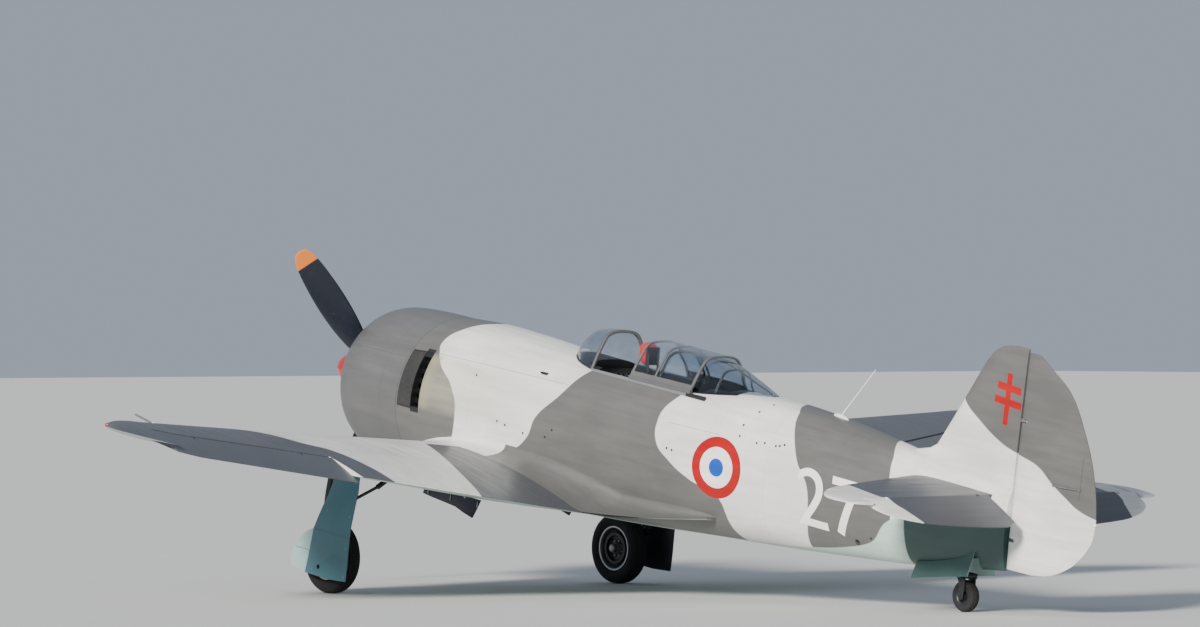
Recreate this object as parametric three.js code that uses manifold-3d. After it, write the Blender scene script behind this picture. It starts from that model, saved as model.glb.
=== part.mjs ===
// Light aircraft: low-wing single-engine tail-wheel machine, parked on its gear.
// Millimetres. The ground is z = 0, +X is forward, +Y is the left wing, +Z is up.
import * as THREE from 'three';
import Module from 'manifold-3d';

const wasm = await Module();
wasm.setup();

// Driving sizes. S is the distance behind the datum, which lies just ahead of the spinner on the thrust line.
const PARKED_PITCH_DEG = 9;
const ELEVATOR_DROOP_DEG = 20;
const AILERON_DROOP_DEG = 8;
const DATUM_X = 4229.3;
const DATUM_Z = 1700;
const HALF_SPAN = 4600;
const FIREWALL_S = 1500;
const WINDSCREEN_S = 2900;
const CENTRE_REAR_S = 5150;
const REAR_END_S = 6700;
const TAIL_END_S = 7640;
const RUDDER_AXIS_S = 7690;
const ELEVATOR_AXIS_S = 7530;
const STABILISER_Z = 290;
const PROPELLER_S = 505;
const FIRST_BLADE_DEG = 42.5;
const MAIN_WHEEL_X = 2495.3;
const MAIN_WHEEL_Y = 1420;
const MAIN_WHEEL_RADIUS = 275;
const TAIL_WHEEL_X = -2882.7;
const TAIL_WHEEL_RADIUS = 112;
const LEG_Y = 1545;
const HOOD_FRONT_S = 3800;
const HOOD_REAR_S = 4485;
const SEAM = 0.3;

const group = new THREE.Group();
group.name = 'light_aircraft';

const toGround = new THREE.Matrix4();
toGround.makeTranslation(DATUM_X, 0, DATUM_Z);
toGround.multiply(new THREE.Matrix4().makeRotationY(-PARKED_PITCH_DEG * Math.PI / 180));
const toBody = toGround.clone().invert();

// A point of the ground frame in the frame of the thrust line
function fromGround(x, y, z) {
  const v = new THREE.Vector3(x, y, z).applyMatrix4(toBody);
  return [v.x, v.y, v.z];
}

// Smooth table look-up: rows are [s, value, value, ...]
function lookUp(table, s) {
  const n = table.length;
  if (s <= table[0][0]) return table[0].slice(1);
  if (s >= table[n - 1][0]) return table[n - 1].slice(1);
  let i = 0;
  while (table[i + 1][0] < s) i += 1;
  const h = table[i + 1][0] - table[i][0];
  const t = (s - table[i][0]) / h;
  const out = [];
  for (let k = 1; k < table[0].length; k += 1) {
    const a = table[i][k];
    const b = table[i + 1][k];
    const prev = table[Math.max(i - 1, 0)];
    const next = table[Math.min(i + 2, n - 1)];
    const ma = h * (b - prev[k]) / (table[i + 1][0] - prev[0]);
    const mb = h * (next[k] - a) / (next[0] - table[i][0]);
    const t2 = t * t;
    const t3 = t2 * t;
    out.push((2 * t3 - 3 * t2 + 1) * a + (t3 - 2 * t2 + t) * ma + (3 * t2 - 2 * t3) * b + (t3 - t2) * mb);
  }
  return out;
}

// Closed solid from a list of rings with the same number of points each
function loft(rings, looped = false) {
  const n = rings[0].length;
  const verts = [];
  for (const ring of rings) for (const p of ring) verts.push(p[0], p[1], p[2]);
  const tris = [];
  const rows = looped ? rings.length : rings.length - 1;
  for (let i = 0; i < rows; i += 1) {
    const j = (i + 1) % rings.length;
    for (let k = 0; k < n; k += 1) {
      const m = (k + 1) % n;
      tris.push(i * n + k, i * n + m, j * n + m, i * n + k, j * n + m, j * n + k);
    }
  }
  if (!looped) {
    capRing(rings[0], 0, true, tris);
    capRing(rings[rings.length - 1], (rings.length - 1) * n, false, tris);
  }
  let volume = 0;
  for (let i = 0; i < tris.length; i += 3) {
    const [a, b, c] = [tris[i] * 3, tris[i + 1] * 3, tris[i + 2] * 3];
    volume += verts[a] * (verts[b + 1] * verts[c + 2] - verts[b + 2] * verts[c + 1]);
    volume -= verts[a + 1] * (verts[b] * verts[c + 2] - verts[b + 2] * verts[c]);
    volume += verts[a + 2] * (verts[b] * verts[c + 1] - verts[b + 1] * verts[c]);
  }
  if (volume < 0) {
    for (let i = 0; i < tris.length; i += 3) [tris[i + 1], tris[i + 2]] = [tris[i + 2], tris[i + 1]];
  }
  const mesh = new wasm.Mesh({
    numProp: 3,
    vertProperties: new Float32Array(verts),
    triVerts: new Uint32Array(tris),
  });
  return new wasm.Manifold(mesh);
}

// Flat lid on a ring, turned the way that closes the side wall
function capRing(ring, first, reversed, tris) {
  const normal = new THREE.Vector3();
  for (let i = 0; i < ring.length; i += 1) {
    const p = ring[i];
    const q = ring[(i + 1) % ring.length];
    normal.x += (p[1] - q[1]) * (p[2] + q[2]);
    normal.y += (p[2] - q[2]) * (p[0] + q[0]);
    normal.z += (p[0] - q[0]) * (p[1] + q[1]);
  }
  normal.normalize();
  const helper = Math.abs(normal.x) < 0.7 ? new THREE.Vector3(1, 0, 0) : new THREE.Vector3(0, 1, 0);
  const u = helper.clone().cross(normal).normalize();
  const v = normal.clone().cross(u);
  const flat = ring.map((p) => {
    const w = new THREE.Vector3(p[0], p[1], p[2]);
    return new THREE.Vector2(w.dot(u), w.dot(v));
  });
  for (const f of THREE.ShapeUtils.triangulateShape(flat, [])) {
    const [a, b, c] = f.map((i) => flat[i]);
    const area = (b.x - a.x) * (c.y - a.y) - (b.y - a.y) * (c.x - a.x);
    const ccw = area > 0 ? f : [f[0], f[2], f[1]];
    const t = reversed ? [ccw[0], ccw[2], ccw[1]] : ccw;
    tris.push(first + t[0], first + t[1], first + t[2]);
  }
}

// Round bar between two points, with a radius at each end
function rod(p, q, ra, rb = ra, n = 16) {
  const a = new THREE.Vector3(...p);
  const b = new THREE.Vector3(...q);
  const dir = b.clone().sub(a).normalize();
  const helper = Math.abs(dir.z) < 0.9 ? new THREE.Vector3(0, 0, 1) : new THREE.Vector3(1, 0, 0);
  const u = helper.clone().cross(dir).normalize();
  const v = dir.clone().cross(u);
  const ring = (c, r) => {
    const out = [];
    for (let i = 0; i < n; i += 1) {
      const t = 2 * Math.PI * i / n;
      const w = c.clone().addScaledVector(u, r * Math.cos(t)).addScaledVector(v, r * Math.sin(t));
      out.push([w.x, w.y, w.z]);
    }
    return out;
  };
  return loft([ring(a, ra), ring(b, rb)]);
}

// Turned solid: profile rows are [along, radius]; place maps (along, a, b) to a point
function turned(profile, n, place, looped = false) {
  const rings = profile.map(([along, r]) => {
    const out = [];
    for (let i = 0; i < n; i += 1) {
      const t = 2 * Math.PI * i / n;
      out.push(place(along, r * Math.cos(t), r * Math.sin(t)));
    }
    return out;
  });
  return loft(rings, looped);
}

// Flat plate: an outline of [s, z] rows between two values of y
function plateY(outline, y0, y1) {
  return loft([y0, y1].map((y) => outline.map(([s, z]) => [-s, y, z])));
}

// Box by its corners: s, y and z ranges
function box(s0, s1, y0, y1, z0, z1) {
  return plateY([[s0, z0], [s1, z0], [s1, z1], [s0, z1]], y0, y1);
}

function union(list) {
  return list.reduce((a, b) => a.add(b));
}

function cut(body, list) {
  return list.reduce((a, b) => a.subtract(b), body);
}

// Turn about an axis through two points, as a matrix
function turnAbout(p, q, degrees) {
  const axis = new THREE.Vector3(...q).sub(new THREE.Vector3(...p)).normalize();
  const back = new THREE.Matrix4().makeTranslation(-p[0], -p[1], -p[2]);
  const turn = new THREE.Matrix4().makeRotationAxis(axis, degrees * Math.PI / 180);
  return new THREE.Matrix4().makeTranslation(...p).multiply(turn).multiply(back);
}

function add(name, body, color, roughness, metalness, pose = null) {
  const mesh = body.getMesh();
  const geometry = new THREE.BufferGeometry();
  geometry.setAttribute('position', new THREE.BufferAttribute(new Float32Array(mesh.vertProperties), 3));
  geometry.setIndex(new THREE.BufferAttribute(new Uint32Array(mesh.triVerts), 1));
  if (pose) geometry.applyMatrix4(pose);
  geometry.applyMatrix4(toGround);
  geometry.computeVertexNormals();
  const material = new THREE.MeshStandardMaterial({ color, roughness, metalness });
  const piece = new THREE.Mesh(geometry, material);
  piece.name = name;
  group.add(piece);
}

// Hinge: a notch with a pin through it in the moving piece, an eye on the fixed one
const PIN = 7;
const PIN_HOLE = 7.7;
const EYE = 13;
function notched(moving, axis0, axis1, notch, pin = PIN) {
  return moving.subtract(notch).add(rod(axis0, axis1, pin, pin, 10));
}
function eyed(fixed, axis0, axis1, arm, eye = EYE, bore = PIN_HOLE) {
  const past = (p, q) => p.map((v, i) => v + 0.3 * (v - q[i]));
  const hole = rod(past(axis0, axis1), past(axis1, axis0), bore, bore, 10);
  return fixed.add(arm).add(rod(axis0, axis1, eye, eye, 10)).subtract(hole);
}

const LIGHT = 0xc9cccd;
const DARK = 0x8d9093;
const TEAL = 0x6fa9a8;
const NAVY = 0x1d2430;
const STEEL = 0x6c6f72;
const BLACK = 0x15161a;
const RED = 0xc0202c;

// Fuselage sections: s, top z, bottom z, half width, z of the widest place, squareness
const FUSELAGE = [
  [1500, 611, -611, 611, 0, 2.0],
  [1900, 626, -620, 590, 0, 2.1],
  [2400, 612, -622, 560, 0, 2.2],
  [2900, 583, -612, 530, 5, 2.35],
  [3400, 570, -592, 500, 10, 2.5],
  [4100, 575, -548, 465, 20, 2.5],
  [4700, 588, -500, 430, 35, 2.45],
  [5150, 596, -470, 398, 50, 2.35],
  [5700, 574, -430, 345, 70, 2.25],
  [6200, 528, -385, 285, 90, 2.15],
  [6700, 470, -338, 215, 110, 2.1],
  [7200, 415, -270, 140, 130, 2.0],
  [7640, 372, -208, 58, 140, 2.0],
];

function fuselageRing(s, grow = 0, n = 28) {
  const [top, bottom, half, mid, square] = lookUp(FUSELAGE, s);
  const out = [];
  for (let i = 0; i < n; i += 1) {
    const t = 2 * Math.PI * i / n;
    const c = Math.cos(t);
    const d = Math.sin(t);
    const y = (half + grow) * Math.sign(c) * Math.pow(Math.abs(c), 2 / square);
    const tall = d > 0 ? top - mid + grow : mid - bottom + grow;
    out.push([-s, y, mid + tall * Math.sign(d) * Math.pow(Math.abs(d), 2 / square)]);
  }
  return out;
}

// Every fuselage piece shares these stations, so that neighbours and cut-outs follow one surface
const STATIONS = [1400];
for (const [s0, s1, count] of [[1500, 2900, 8], [2900, 5150, 12], [5150, 6700, 8], [6700, 7640, 5]]) {
  for (let i = 0; i < count; i += 1) STATIONS.push(s0 + (s1 - s0) * i / count);
}
STATIONS.push(TAIL_END_S);

function fuselage(s0, s1, grow = 0) {
  const stops = [s0, ...STATIONS.filter((s) => s > s0 + 5 && s < s1 - 5), s1];
  return loft(stops.map((s) => fuselageRing(s, grow)));
}

// Cowl: an open-fronted ring round the engine
const alongX = (s, a, b) => [-s, a, b];
const COWL = [
  [660, 445], [672, 480], [705, 520], [760, 555], [850, 585], [980, 602], [1200, 610], [1499.7, 611],
  [1499.7, 590], [1200, 586], [980, 578], [850, 556], [760, 520], [700, 478], [668, 436],
];
add('cowl', turned(COWL, 32, alongX, true), DARK, 0.45, 0.1);

// Engine: crankcase and two rows of nine cylinders, held on the firewall
const engineParts = [
  turned([[640, 95], [700, 150], [800, 235], [1300, 250], [1380, 330], [1420, 330], [1430, 240], [1799, 240]],
    18, alongX),
];
for (let i = 0; i < 18; i += 1) {
  const s = i % 2 === 0 ? 900 : 1140;
  const t = Math.PI * i / 9;
  const [c, d] = [Math.cos(t), Math.sin(t)];
  engineParts.push(rod([-s, 200 * c, 200 * d], [-s, 530 * c, 530 * d], 72, 66, 8));
}
const shaftBore = rod([-600, 0, 0], [-800, 0, 0], 53, 53, 20);
add('engine', cut(union(engineParts), [shaftBore]), 0x3c3e40, 0.5, 0.6);

// Propeller: blade rows are radius, chord, thickness, twist in degrees from the disc
const BLADE = [
  [120, 90, 84, 60],
  [230, 110, 76, 55],
  [340, 170, 52, 48],
  [520, 215, 38, 40],
  [760, 232, 28, 32],
  [1000, 214, 20, 26],
  [1180, 178, 14, 23],
  [1265, 132, 10, 21],
  [1300, 80, 8, 20],
  [1310, 30, 6, 20],
];
function blade(index) {
  const turn = (FIRST_BLADE_DEG - 120 * index) * Math.PI / 180;
  const rings = BLADE.map(([r, chord, thick, twist]) => {
    const w = twist * Math.PI / 180;
    const out = [];
    for (let i = 0; i < 10; i += 1) {
      const t = 2 * Math.PI * i / 10;
      const a = chord / 2 * Math.cos(t);
      const b = thick / 2 * Math.sin(t);
      const along = -(a * Math.sin(w) + b * Math.cos(w));
      const side = a * Math.cos(w) - b * Math.sin(w);
      const y = r * Math.sin(turn) + side * Math.cos(turn);
      const z = r * Math.cos(turn) - side * Math.sin(turn);
      out.push([-PROPELLER_S - along, y, z]);
    }
    return out;
  });
  return loft(rings);
}
const hub = turned([[402, 152], [440, 153], [580, 150], [604, 130], [608, 52], [740, 52]], 20, alongX);
add('propeller', union([hub, blade(0), blade(1), blade(2)]), 0x17191f, 0.4, 0.1);
add('spinner', turned([[55, 4], [62, 36], [82, 66], [125, 98], [190, 124], [290, 143], [401.7, 152]], 24, alongX),
  RED, 0.3, 0);

// Forward fuselage with the bay behind the engine and the side exit slots
function slotCutter(side) {
  const ring = (s) => {
    const out = [];
    for (let i = 0; i <= 6; i += 1) {
      const t = (56 + 38 * i / 6) * Math.PI / 180;
      out.push([-s, side * 700 * Math.sin(t), 700 * Math.cos(t)]);
    }
    for (let i = 6; i >= 0; i -= 1) {
      const t = (56 + 38 * i / 6) * Math.PI / 180;
      out.push([-s, side * 480 * Math.sin(t), 480 * Math.cos(t)]);
    }
    return out;
  };
  return loft([ring(1675), ring(1765)]);
}
const bay = turned([[1400, 545], [1800, 545]], 24, alongX);
add('fuselage_forward', cut(fuselage(FIREWALL_S, WINDSCREEN_S), [bay, slotCutter(1), slotCutter(-1)]),
  LIGHT, 0.45, 0.1);

// Centre fuselage, hollow where the cockpit is
const cockpit = union([
  box(2930, 4800, -330, 330, -330, 330),
  box(3250, 3420, -225, 225, 300, 800),
  box(3415, 4050, -272, 272, 300, 800),
  box(4045, 4560, -235, 235, 300, 800),
  box(4555, 4760, -150, 150, 300, 800),
]);
const hoodRunner = (side) => box(3365, 4700, Math.min(side * 279, side * 291), Math.max(side * 279, side * 291),
  400, 521.7);
add('fuselage_centre', union([cut(fuselage(WINDSCREEN_S + SEAM, CENTRE_REAR_S), [cockpit]),
  hoodRunner(1), hoodRunner(-1)]), LIGHT, 0.45, 0.1);
const liftingTube = rod([-6320, -400, -245], [-6320, 400, -245], 22, 22, 20);
add('fuselage_rear', cut(fuselage(CENTRE_REAR_S + SEAM, REAR_END_S), [liftingTube]), LIGHT, 0.45, 0.1);

// Tail cone with the bay of the tail wheel
const tailBay = box(6820, 7420, -75, 75, -420, -150);
const RUDDER_EYES = [20, 860];
const rudderPin = (z, more) => [[-RUDDER_AXIS_S, 0, z - more], [-RUDDER_AXIS_S, 0, z + more]];
const rudderArm = (z) => box(TAIL_END_S - 30, RUDDER_AXIS_S, -11, 11, z - 9, z + 9);
add('tail_cone', eyed(cut(fuselage(REAR_END_S + SEAM, TAIL_END_S), [tailBay]),
  ...rudderPin(RUDDER_EYES[0], 9), rudderArm(RUDDER_EYES[0])), LIGHT, 0.45, 0.1);

// Wing plan: y, leading edge s, trailing edge s, z of the chord, thickness ratio
const WING = [
  [300, 1500, 4080, -476, 0.150],
  [600, 1560, 4020, -464, 0.150],
  [1300, 1770, 3934, -371, 0.145],
  [2000, 1980, 3847, -277, 0.138],
  [2700, 2190, 3761, -184, 0.130],
  [3400, 2400, 3674, -90, 0.122],
  [4000, 2580, 3600, -10, 0.115],
];
function wingRow(y) {
  if (y <= 4000) {
    let i = 0;
    while (WING[i + 1][0] < y) i += 1;
    const t = (y - WING[i][0]) / (WING[i + 1][0] - WING[i][0]);
    return WING[i].slice(1).map((v, k) => v + (WING[i + 1][k + 1] - v) * t);
  }
  const w = Math.pow(Math.max(0, 1 - Math.pow((y - 4000) / (HALF_SPAN + 2 - 4000), 1.35)), 1 / 1.35);
  return [3400 - 820 * w, 3400 + 200 * w, -10 + 0.2 * (y - 4000), 0.115 - 0.02 * (1 - w)];
}

// Aerofoil ring across the span at y, raised by lift
function foil(y, side, row, lift = 0, n = 9) {
  const [le, te, zc, ratio] = row;
  const chord = te - le;
  const half = (x) => 5 * ratio * chord * (0.2969 * Math.sqrt(x) - 0.126 * x - 0.3516 * x * x
    + 0.2843 * x * x * x - 0.1036 * x * x * x * x) + 2;
  const mean = (x) => zc + lift + 0.08 * chord * x * (1 - x);
  const out = [];
  for (let i = 0; i <= n; i += 1) {
    const x = 0.5 * (1 + Math.cos(Math.PI * i / n));
    out.push([-(le + chord * x), side * y, mean(x) + half(x)]);
  }
  for (let i = 0; i <= n; i += 1) {
    const x = 0.5 * (1 - Math.cos(Math.PI * i / n));
    out.push([-(le + chord * x), side * y, mean(x) - half(x)]);
  }
  return out;
}
const WING_Y = [300, 600, 1300, 2000, 2700, 3400, 4000, 4100, 4250, 4400, 4510, 4570, 4600];
function wingLoft(side, lift = 0) {
  return loft(WING_Y.map((y) => foil(y, side, wingRow(y), lift)));
}

// Prism in plan: corners are [s, y], between two heights
function plan(side, corners, z0, z1) {
  return loft([z0, z1].map((z) => corners.map(([s, y]) => [-s, side * y, z])));
}

const AILERON_BAY = 50;
const AILERON_IN = 2690;
const AILERON_OUT = 4200;
const FLAP_IN = 760;
const FLAP_OUT = 2600;
const aileronAxisS = (y) => wingRow(Math.min(y, 4000))[1] - 340;
function aileronPlan(side, y0, y1, forward, z0 = -600) {
  return plan(side, [[aileronAxisS(y0) - forward, y0], [aileronAxisS(y1) - forward, y1],
    [4600, y1], [4600, y0]], z0, 400);
}
function flapPlan(side, grow) {
  const [y0, y1] = [FLAP_IN - grow, FLAP_OUT + grow];
  const rear = (y) => wingRow(y)[1];
  return plan(side, [[rear(y0) - 470 - 2.5 * grow, y0], [rear(y1) - 400 - 2.5 * grow, y1],
    [rear(y1) - 190 + grow, y1], [rear(y0) - 210 + grow, y0]], -900, 400);
}

// Split flaps hang from two small eyes near their front edge, at half the thickness of the skin
const FLAP_SKIN = 14;
const FLAP_EYES = [1100, 2250];
function flapPin(side, y) {
  const ends = [[FLAP_IN, 460], [FLAP_OUT, 390]].map(([at, ahead]) => {
    const row = wingRow(at);
    const s = row[1] - ahead;
    const x = (s - row[0]) / (row[1] - row[0]);
    const chord = row[1] - row[0];
    const half = 5 * row[3] * chord * (0.2969 * Math.sqrt(x) - 0.126 * x - 0.3516 * x * x
      + 0.2843 * x * x * x - 0.1036 * x * x * x * x) + 2;
    return [-s, at, row[2] + 0.08 * chord * x * (1 - x) - half + FLAP_SKIN / 2];
  });
  const t = (y - FLAP_IN) / (FLAP_OUT - FLAP_IN);
  const p = ends[0].map((v, k) => v + (ends[1][k] - v) * t);
  return [p[0], side * y, p[2]];
}
function flapBlock(side, y, ahead, behind, wide, tall) {
  const [x, at, z] = flapPin(side, y);
  return box(-x - ahead, -x + behind, at - wide, at + wide, z - tall, z + tall);
}

// Inner gear doors hang from two eyes under each wing root
const DOOR_HINGE_Y = 479;
const DOOR_HINGE_Z = -630;
const DOOR_EYES = [1960, 2280];
const doorPin = (side, s, more) => [-1, 1].map((k) => [-s + k * more, side * DOOR_HINGE_Y, DOOR_HINGE_Z]);
function doorEyes(wing, side) {
  const at = side * DOOR_HINGE_Y;
  return DOOR_EYES.reduce((a, s) => eyed(a, ...doorPin(side, s, 8),
    box(s - 8, s + 8, at - 8, at + 8, DOOR_HINGE_Z, -540), 11), wing);
}

// Root fairing rows: s, reach in y, rise on the hull, lift behind the trailing edge
const FAIRING = [
  [1640, 588, 2, 0], [2000, 640, 34, 0], [2500, 700, 76, 0], [3000, 745, 112, 0], [3500, 790, 140, 0],
  [3850, 812, 152, 0], [4020, 800, 156, 6], [4200, 742, 152, 26], [4450, 640, 134, 62], [4700, 525, 96, 104],
  [4950, 425, 12, 150],
];
function hullSide(s, z) {
  const [top, bottom, half, mid, square] = lookUp(FUSELAGE, s);
  const share = Math.min(1, Math.abs(z - mid) / (z > mid ? top - mid : mid - bottom));
  return half * Math.pow(1 - Math.pow(share, square), 1 / square);
}
function wingTop(s, y) {
  const [le, te, zc, ratio] = wingRow(y);
  const x = Math.min(Math.max((s - le) / (te - le), 0), 1);
  const chord = te - le;
  const half = 5 * ratio * chord * (0.2969 * Math.sqrt(x) - 0.126 * x - 0.3516 * x * x
    + 0.2843 * x * x * x - 0.1036 * x * x * x * x);
  return zc + 0.08 * chord * x * (1 - x) + half;
}
function rootFairing(side) {
  const rings = FAIRING.map(([s, reach, rise, lift]) => {
    const low = wingTop(s, Math.min(reach, 900)) + lift;
    const out = Math.max(reach, hullSide(s, low) + 8);
    const high = low + rise;
    const start = [hullSide(s, high) - 20, high];
    const corner = [hullSide(s, low) + 6, low + 8];
    const end = [out, wingTop(s, out) + lift - 2];
    const ring = [];
    for (let i = 0; i <= 6; i += 1) {
      const t = i / 6;
      const [y, z] = start.map((v, k) => (1 - t) * (1 - t) * v + 2 * t * (1 - t) * corner[k] + t * t * end[k]);
      ring.push([-s, side * y, z]);
    }
    ring.push([-s, side * out, end[1] - 6]);
    ring.push([-s, side * (hullSide(s, low - 12) - 60), low - 16]);
    return ring;
  });
  return loft(rings);
}

const HINGE_Y = [2698, 3990];
for (const [name, side] of [['left', 1], ['right', -1]]) {
  const whole = wingLoft(side);
  const rooted = whole.add(rootFairing(side));
  const hinge = HINGE_Y.map((y) => {
    const [le, te, zc] = wingRow(y);
    const x = (aileronAxisS(y) - le) / (te - le);
    return [-aileronAxisS(y), side * y, zc + 0.08 * (te - le) * x * (1 - x)];
  });
  const body = fuselage(1400, CENTRE_REAR_S, SEAM);
  const wheelWell = rod([-2130, side * 800, -900], [-2130, side * 800, -400], 305, 305, 24);
  const legWell = box(2050, 2290, Math.min(side * 700, side * 1600), Math.max(side * 700, side * 1600), -900, -300);
  const skinGap = whole.add(wingLoft(side, -10)).subtract(wingLoft(side, 24)).intersect(flapPlan(side, 8));
  const tools = [body, wheelWell, legWell, skinGap, aileronPlan(side, AILERON_IN, AILERON_OUT, AILERON_BAY)];
  const onHinge = (y) => {
    const t = (y - HINGE_Y[0]) / (HINGE_Y[1] - HINGE_Y[0]);
    return hinge[0].map((v, k) => v + (hinge[1][k] - v) * t);
  };
  const jackPad = rod([-2450, side * 2200, -290], [-2450, side * 2200, -360], 34, 34, 20);
  const eyes = [2960, 3860];
  const aileronArm = (y) => {
    const p = onHinge(y);
    return box(-p[0] - 100, -p[0], side * y - 9, side * y + 9, p[2] - 9, p[2] + 9);
  };
  const wing = eyes.reduce((a, y) => eyed(a, onHinge(y - 9), onHinge(y + 9), aileronArm(y), 12),
    cut(rooted, tools).add(jackPad));
  const flapped = FLAP_EYES.reduce((a, y) => eyed(a, flapPin(side, y - 8), flapPin(side, y + 8),
    flapBlock(side, y, 45, 0, 8, 5), 7, 4.5), wing);
  add(`wing_${name}`, doorEyes(flapped, side), DARK, 0.45, 0.1);
  const droop = turnAbout(hinge[0], hinge[1], -AILERON_DROOP_DEG);
  const aileron = eyes.reduce((a, y) => {
    const p = onHinge(y);
    return notched(a, onHinge(y - 32), onHinge(y + 32),
      box(-p[0] - 50, -p[0] + 26, side * y - 14, side * y + 14, p[2] - 70, p[2] + 70));
  }, whole.intersect(aileronPlan(side, AILERON_IN + 8, AILERON_OUT - 8, 20)));
  add(`aileron_${name}`, aileron, DARK, 0.45, 0.1, droop);
  const flap = FLAP_EYES.reduce((a, y) => notched(a, flapPin(side, y - 28), flapPin(side, y + 28),
    flapBlock(side, y, 14, 13, 12, 30), 4), whole.subtract(wingLoft(side, FLAP_SKIN)).intersect(flapPlan(side, 0)));
  add(`flap_${name}`, flap, LIGHT, 0.45, 0.1);
}

// Tail surfaces: symmetric sections
function slab(le, te, half) {
  const chord = te - le;
  return [[0, 0.25], [0.04, 0.62], [0.14, 0.92], [0.3, 1], [0.6, 0.8], [0.85, 0.55], [1, 0.42]]
    .map(([x, h]) => [le + chord * x, half * h]);
}
function slabRing(rows, place) {
  const up = rows.map(([s, h]) => place(s, h));
  const down = rows.map(([s, h]) => place(s, -h)).reverse();
  return up.concat(down);
}

// Fin rows: z, leading edge s, half thickness
const FIN = [
  [250, 6650, 52], [520, 6815, 48], [900, 7045, 40], [1180, 7215, 32], [1290, 7300, 26], [1345, 7400, 18],
  [1360, 7500, 8],
];
const tailGrown = fuselage(REAR_END_S - 300, TAIL_END_S + 20, SEAM);
const finRings = FIN.map(([z, le, half]) => slabRing(slab(le, TAIL_END_S, half), (s, h) => [-s, h, z]));
add('fin', eyed(loft(finRings).subtract(tailGrown), ...rudderPin(RUDDER_EYES[1], 9),
  rudderArm(RUDDER_EYES[1])), LIGHT, 0.45, 0.1);

// Rudder rows: z, trailing edge s, half thickness at the hinge; its nose lies this far ahead of the hinge
const RUDDER_NOSE = 42;
const RUDDER = [
  [-190, 7900, 10], [-165, 8060, 18], [-90, 8230, 26], [0, 8345, 32], [140, 8445, 34], [345, 8455, 34],
  [640, 8380, 32], [900, 8250, 28], [1125, 8085, 22], [1270, 7860, 16], [1335, 7750, 10],
];
const rudderRings = RUDDER.map(([z, te, half]) => {
  const axis = RUDDER_AXIS_S;
  const rows = [[axis - RUDDER_NOSE, half * 0.3], [axis - RUDDER_NOSE * 0.7, half * 0.72], [axis, half],
    [axis + (te - axis) * 0.5, half * 0.6], [te, 3]];
  return slabRing(rows, (s, h) => [-s, h, z]);
});
const rudderNotch = (z) => box(RUDDER_AXIS_S - 50, RUDDER_AXIS_S + 28, -50, 50, z - 13, z + 13);
const rudder = RUDDER_EYES.reduce((body, z) => notched(body, ...rudderPin(z, 30), rudderNotch(z)), loft(rudderRings));
add('rudder', rudder, LIGHT, 0.45, 0.1);

// Stabiliser rows: y, leading edge s, trailing edge s, half thickness
const STABILISER = [
  [20, 6690, 7490, 46], [200, 6745, 7490, 44], [800, 6930, 7490, 36], [1180, 7060, 7490, 29],
  [1308, 7130, 7490, 26], [1312, 7134, 7615, 26], [1420, 7230, 7595, 19], [1480, 7320, 7555, 12],
  [1500, 7400, 7500, 5],
];
const ELEVATOR_NOSE = 32;
const ELEVATOR = [
  [165, 7860, 30], [300, 7925, 29], [900, 7865, 25], [1150, 7780, 22], [1265, 7700, 20], [1298, 7650, 17],
];
for (const [name, side] of [['left', 1], ['right', -1]]) {
  const rings = STABILISER.map(([y, le, te, half]) => slabRing(slab(le, te, half),
    (s, h) => [-s, side * y, STABILISER_Z + h]));
  const eyes = [260, 1120];
  const pin = (y, more) => [-1, 1].map((k) => [-ELEVATOR_AXIS_S, side * y + k * more, STABILISER_Z]);
  const stabiliser = eyes.reduce((body, y) => eyed(body, ...pin(y, 9),
    box(7470, ELEVATOR_AXIS_S, side * y - 9, side * y + 9, STABILISER_Z - 10, STABILISER_Z + 10), 12),
  loft(rings).subtract(tailGrown));
  add(`stabiliser_${name}`, stabiliser, DARK, 0.45, 0.1);
  const flaps = ELEVATOR.map(([y, te, half]) => {
    const axis = ELEVATOR_AXIS_S;
    const rows = [[axis - ELEVATOR_NOSE, half * 0.3], [axis - ELEVATOR_NOSE * 0.7, half * 0.72], [axis, half],
      [axis + (te - axis) * 0.5, half * 0.6], [te, 3]];
    return slabRing(rows, (s, h) => [-s, side * y, STABILISER_Z + h]);
  });
  const droop = turnAbout([-ELEVATOR_AXIS_S, 0, STABILISER_Z], [-ELEVATOR_AXIS_S, 100, STABILISER_Z],
    -ELEVATOR_DROOP_DEG);
  const elevator = eyes.reduce((body, y) => notched(body, ...pin(y, 30), box(ELEVATOR_AXIS_S - 50,
    ELEVATOR_AXIS_S + 26, side * y - 13, side * y + 13, STABILISER_Z - 60, STABILISER_Z + 60)), loft(flaps));
  add(`elevator_${name}`, elevator, DARK, 0.45, 0.1, droop);
}

// Canopy: arch rows are s, half width, base z, top z
const SCREEN = [[2915, 90, 520, 592], [2990, 150, 503, 665], [3080, 205, 495, 738], [3160, 245, 490, 788],
  [3250, 270, 488, 804], [3360, 292, 488, 810]];
const HOOD = [[3800, 296, 526, 804], [4060, 296, 526, 802], [4280, 295, 526, 800], [4485, 293, 526, 798]];
const REARGLASS = [[4050, 262, 488, 772], [4300, 261, 488, 770], [4480, 258, 488, 765], [4620, 236, 488, 738],
  [4800, 192, 488, 688], [4980, 136, 488, 637], [5105, 84, 488, 601]];

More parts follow.
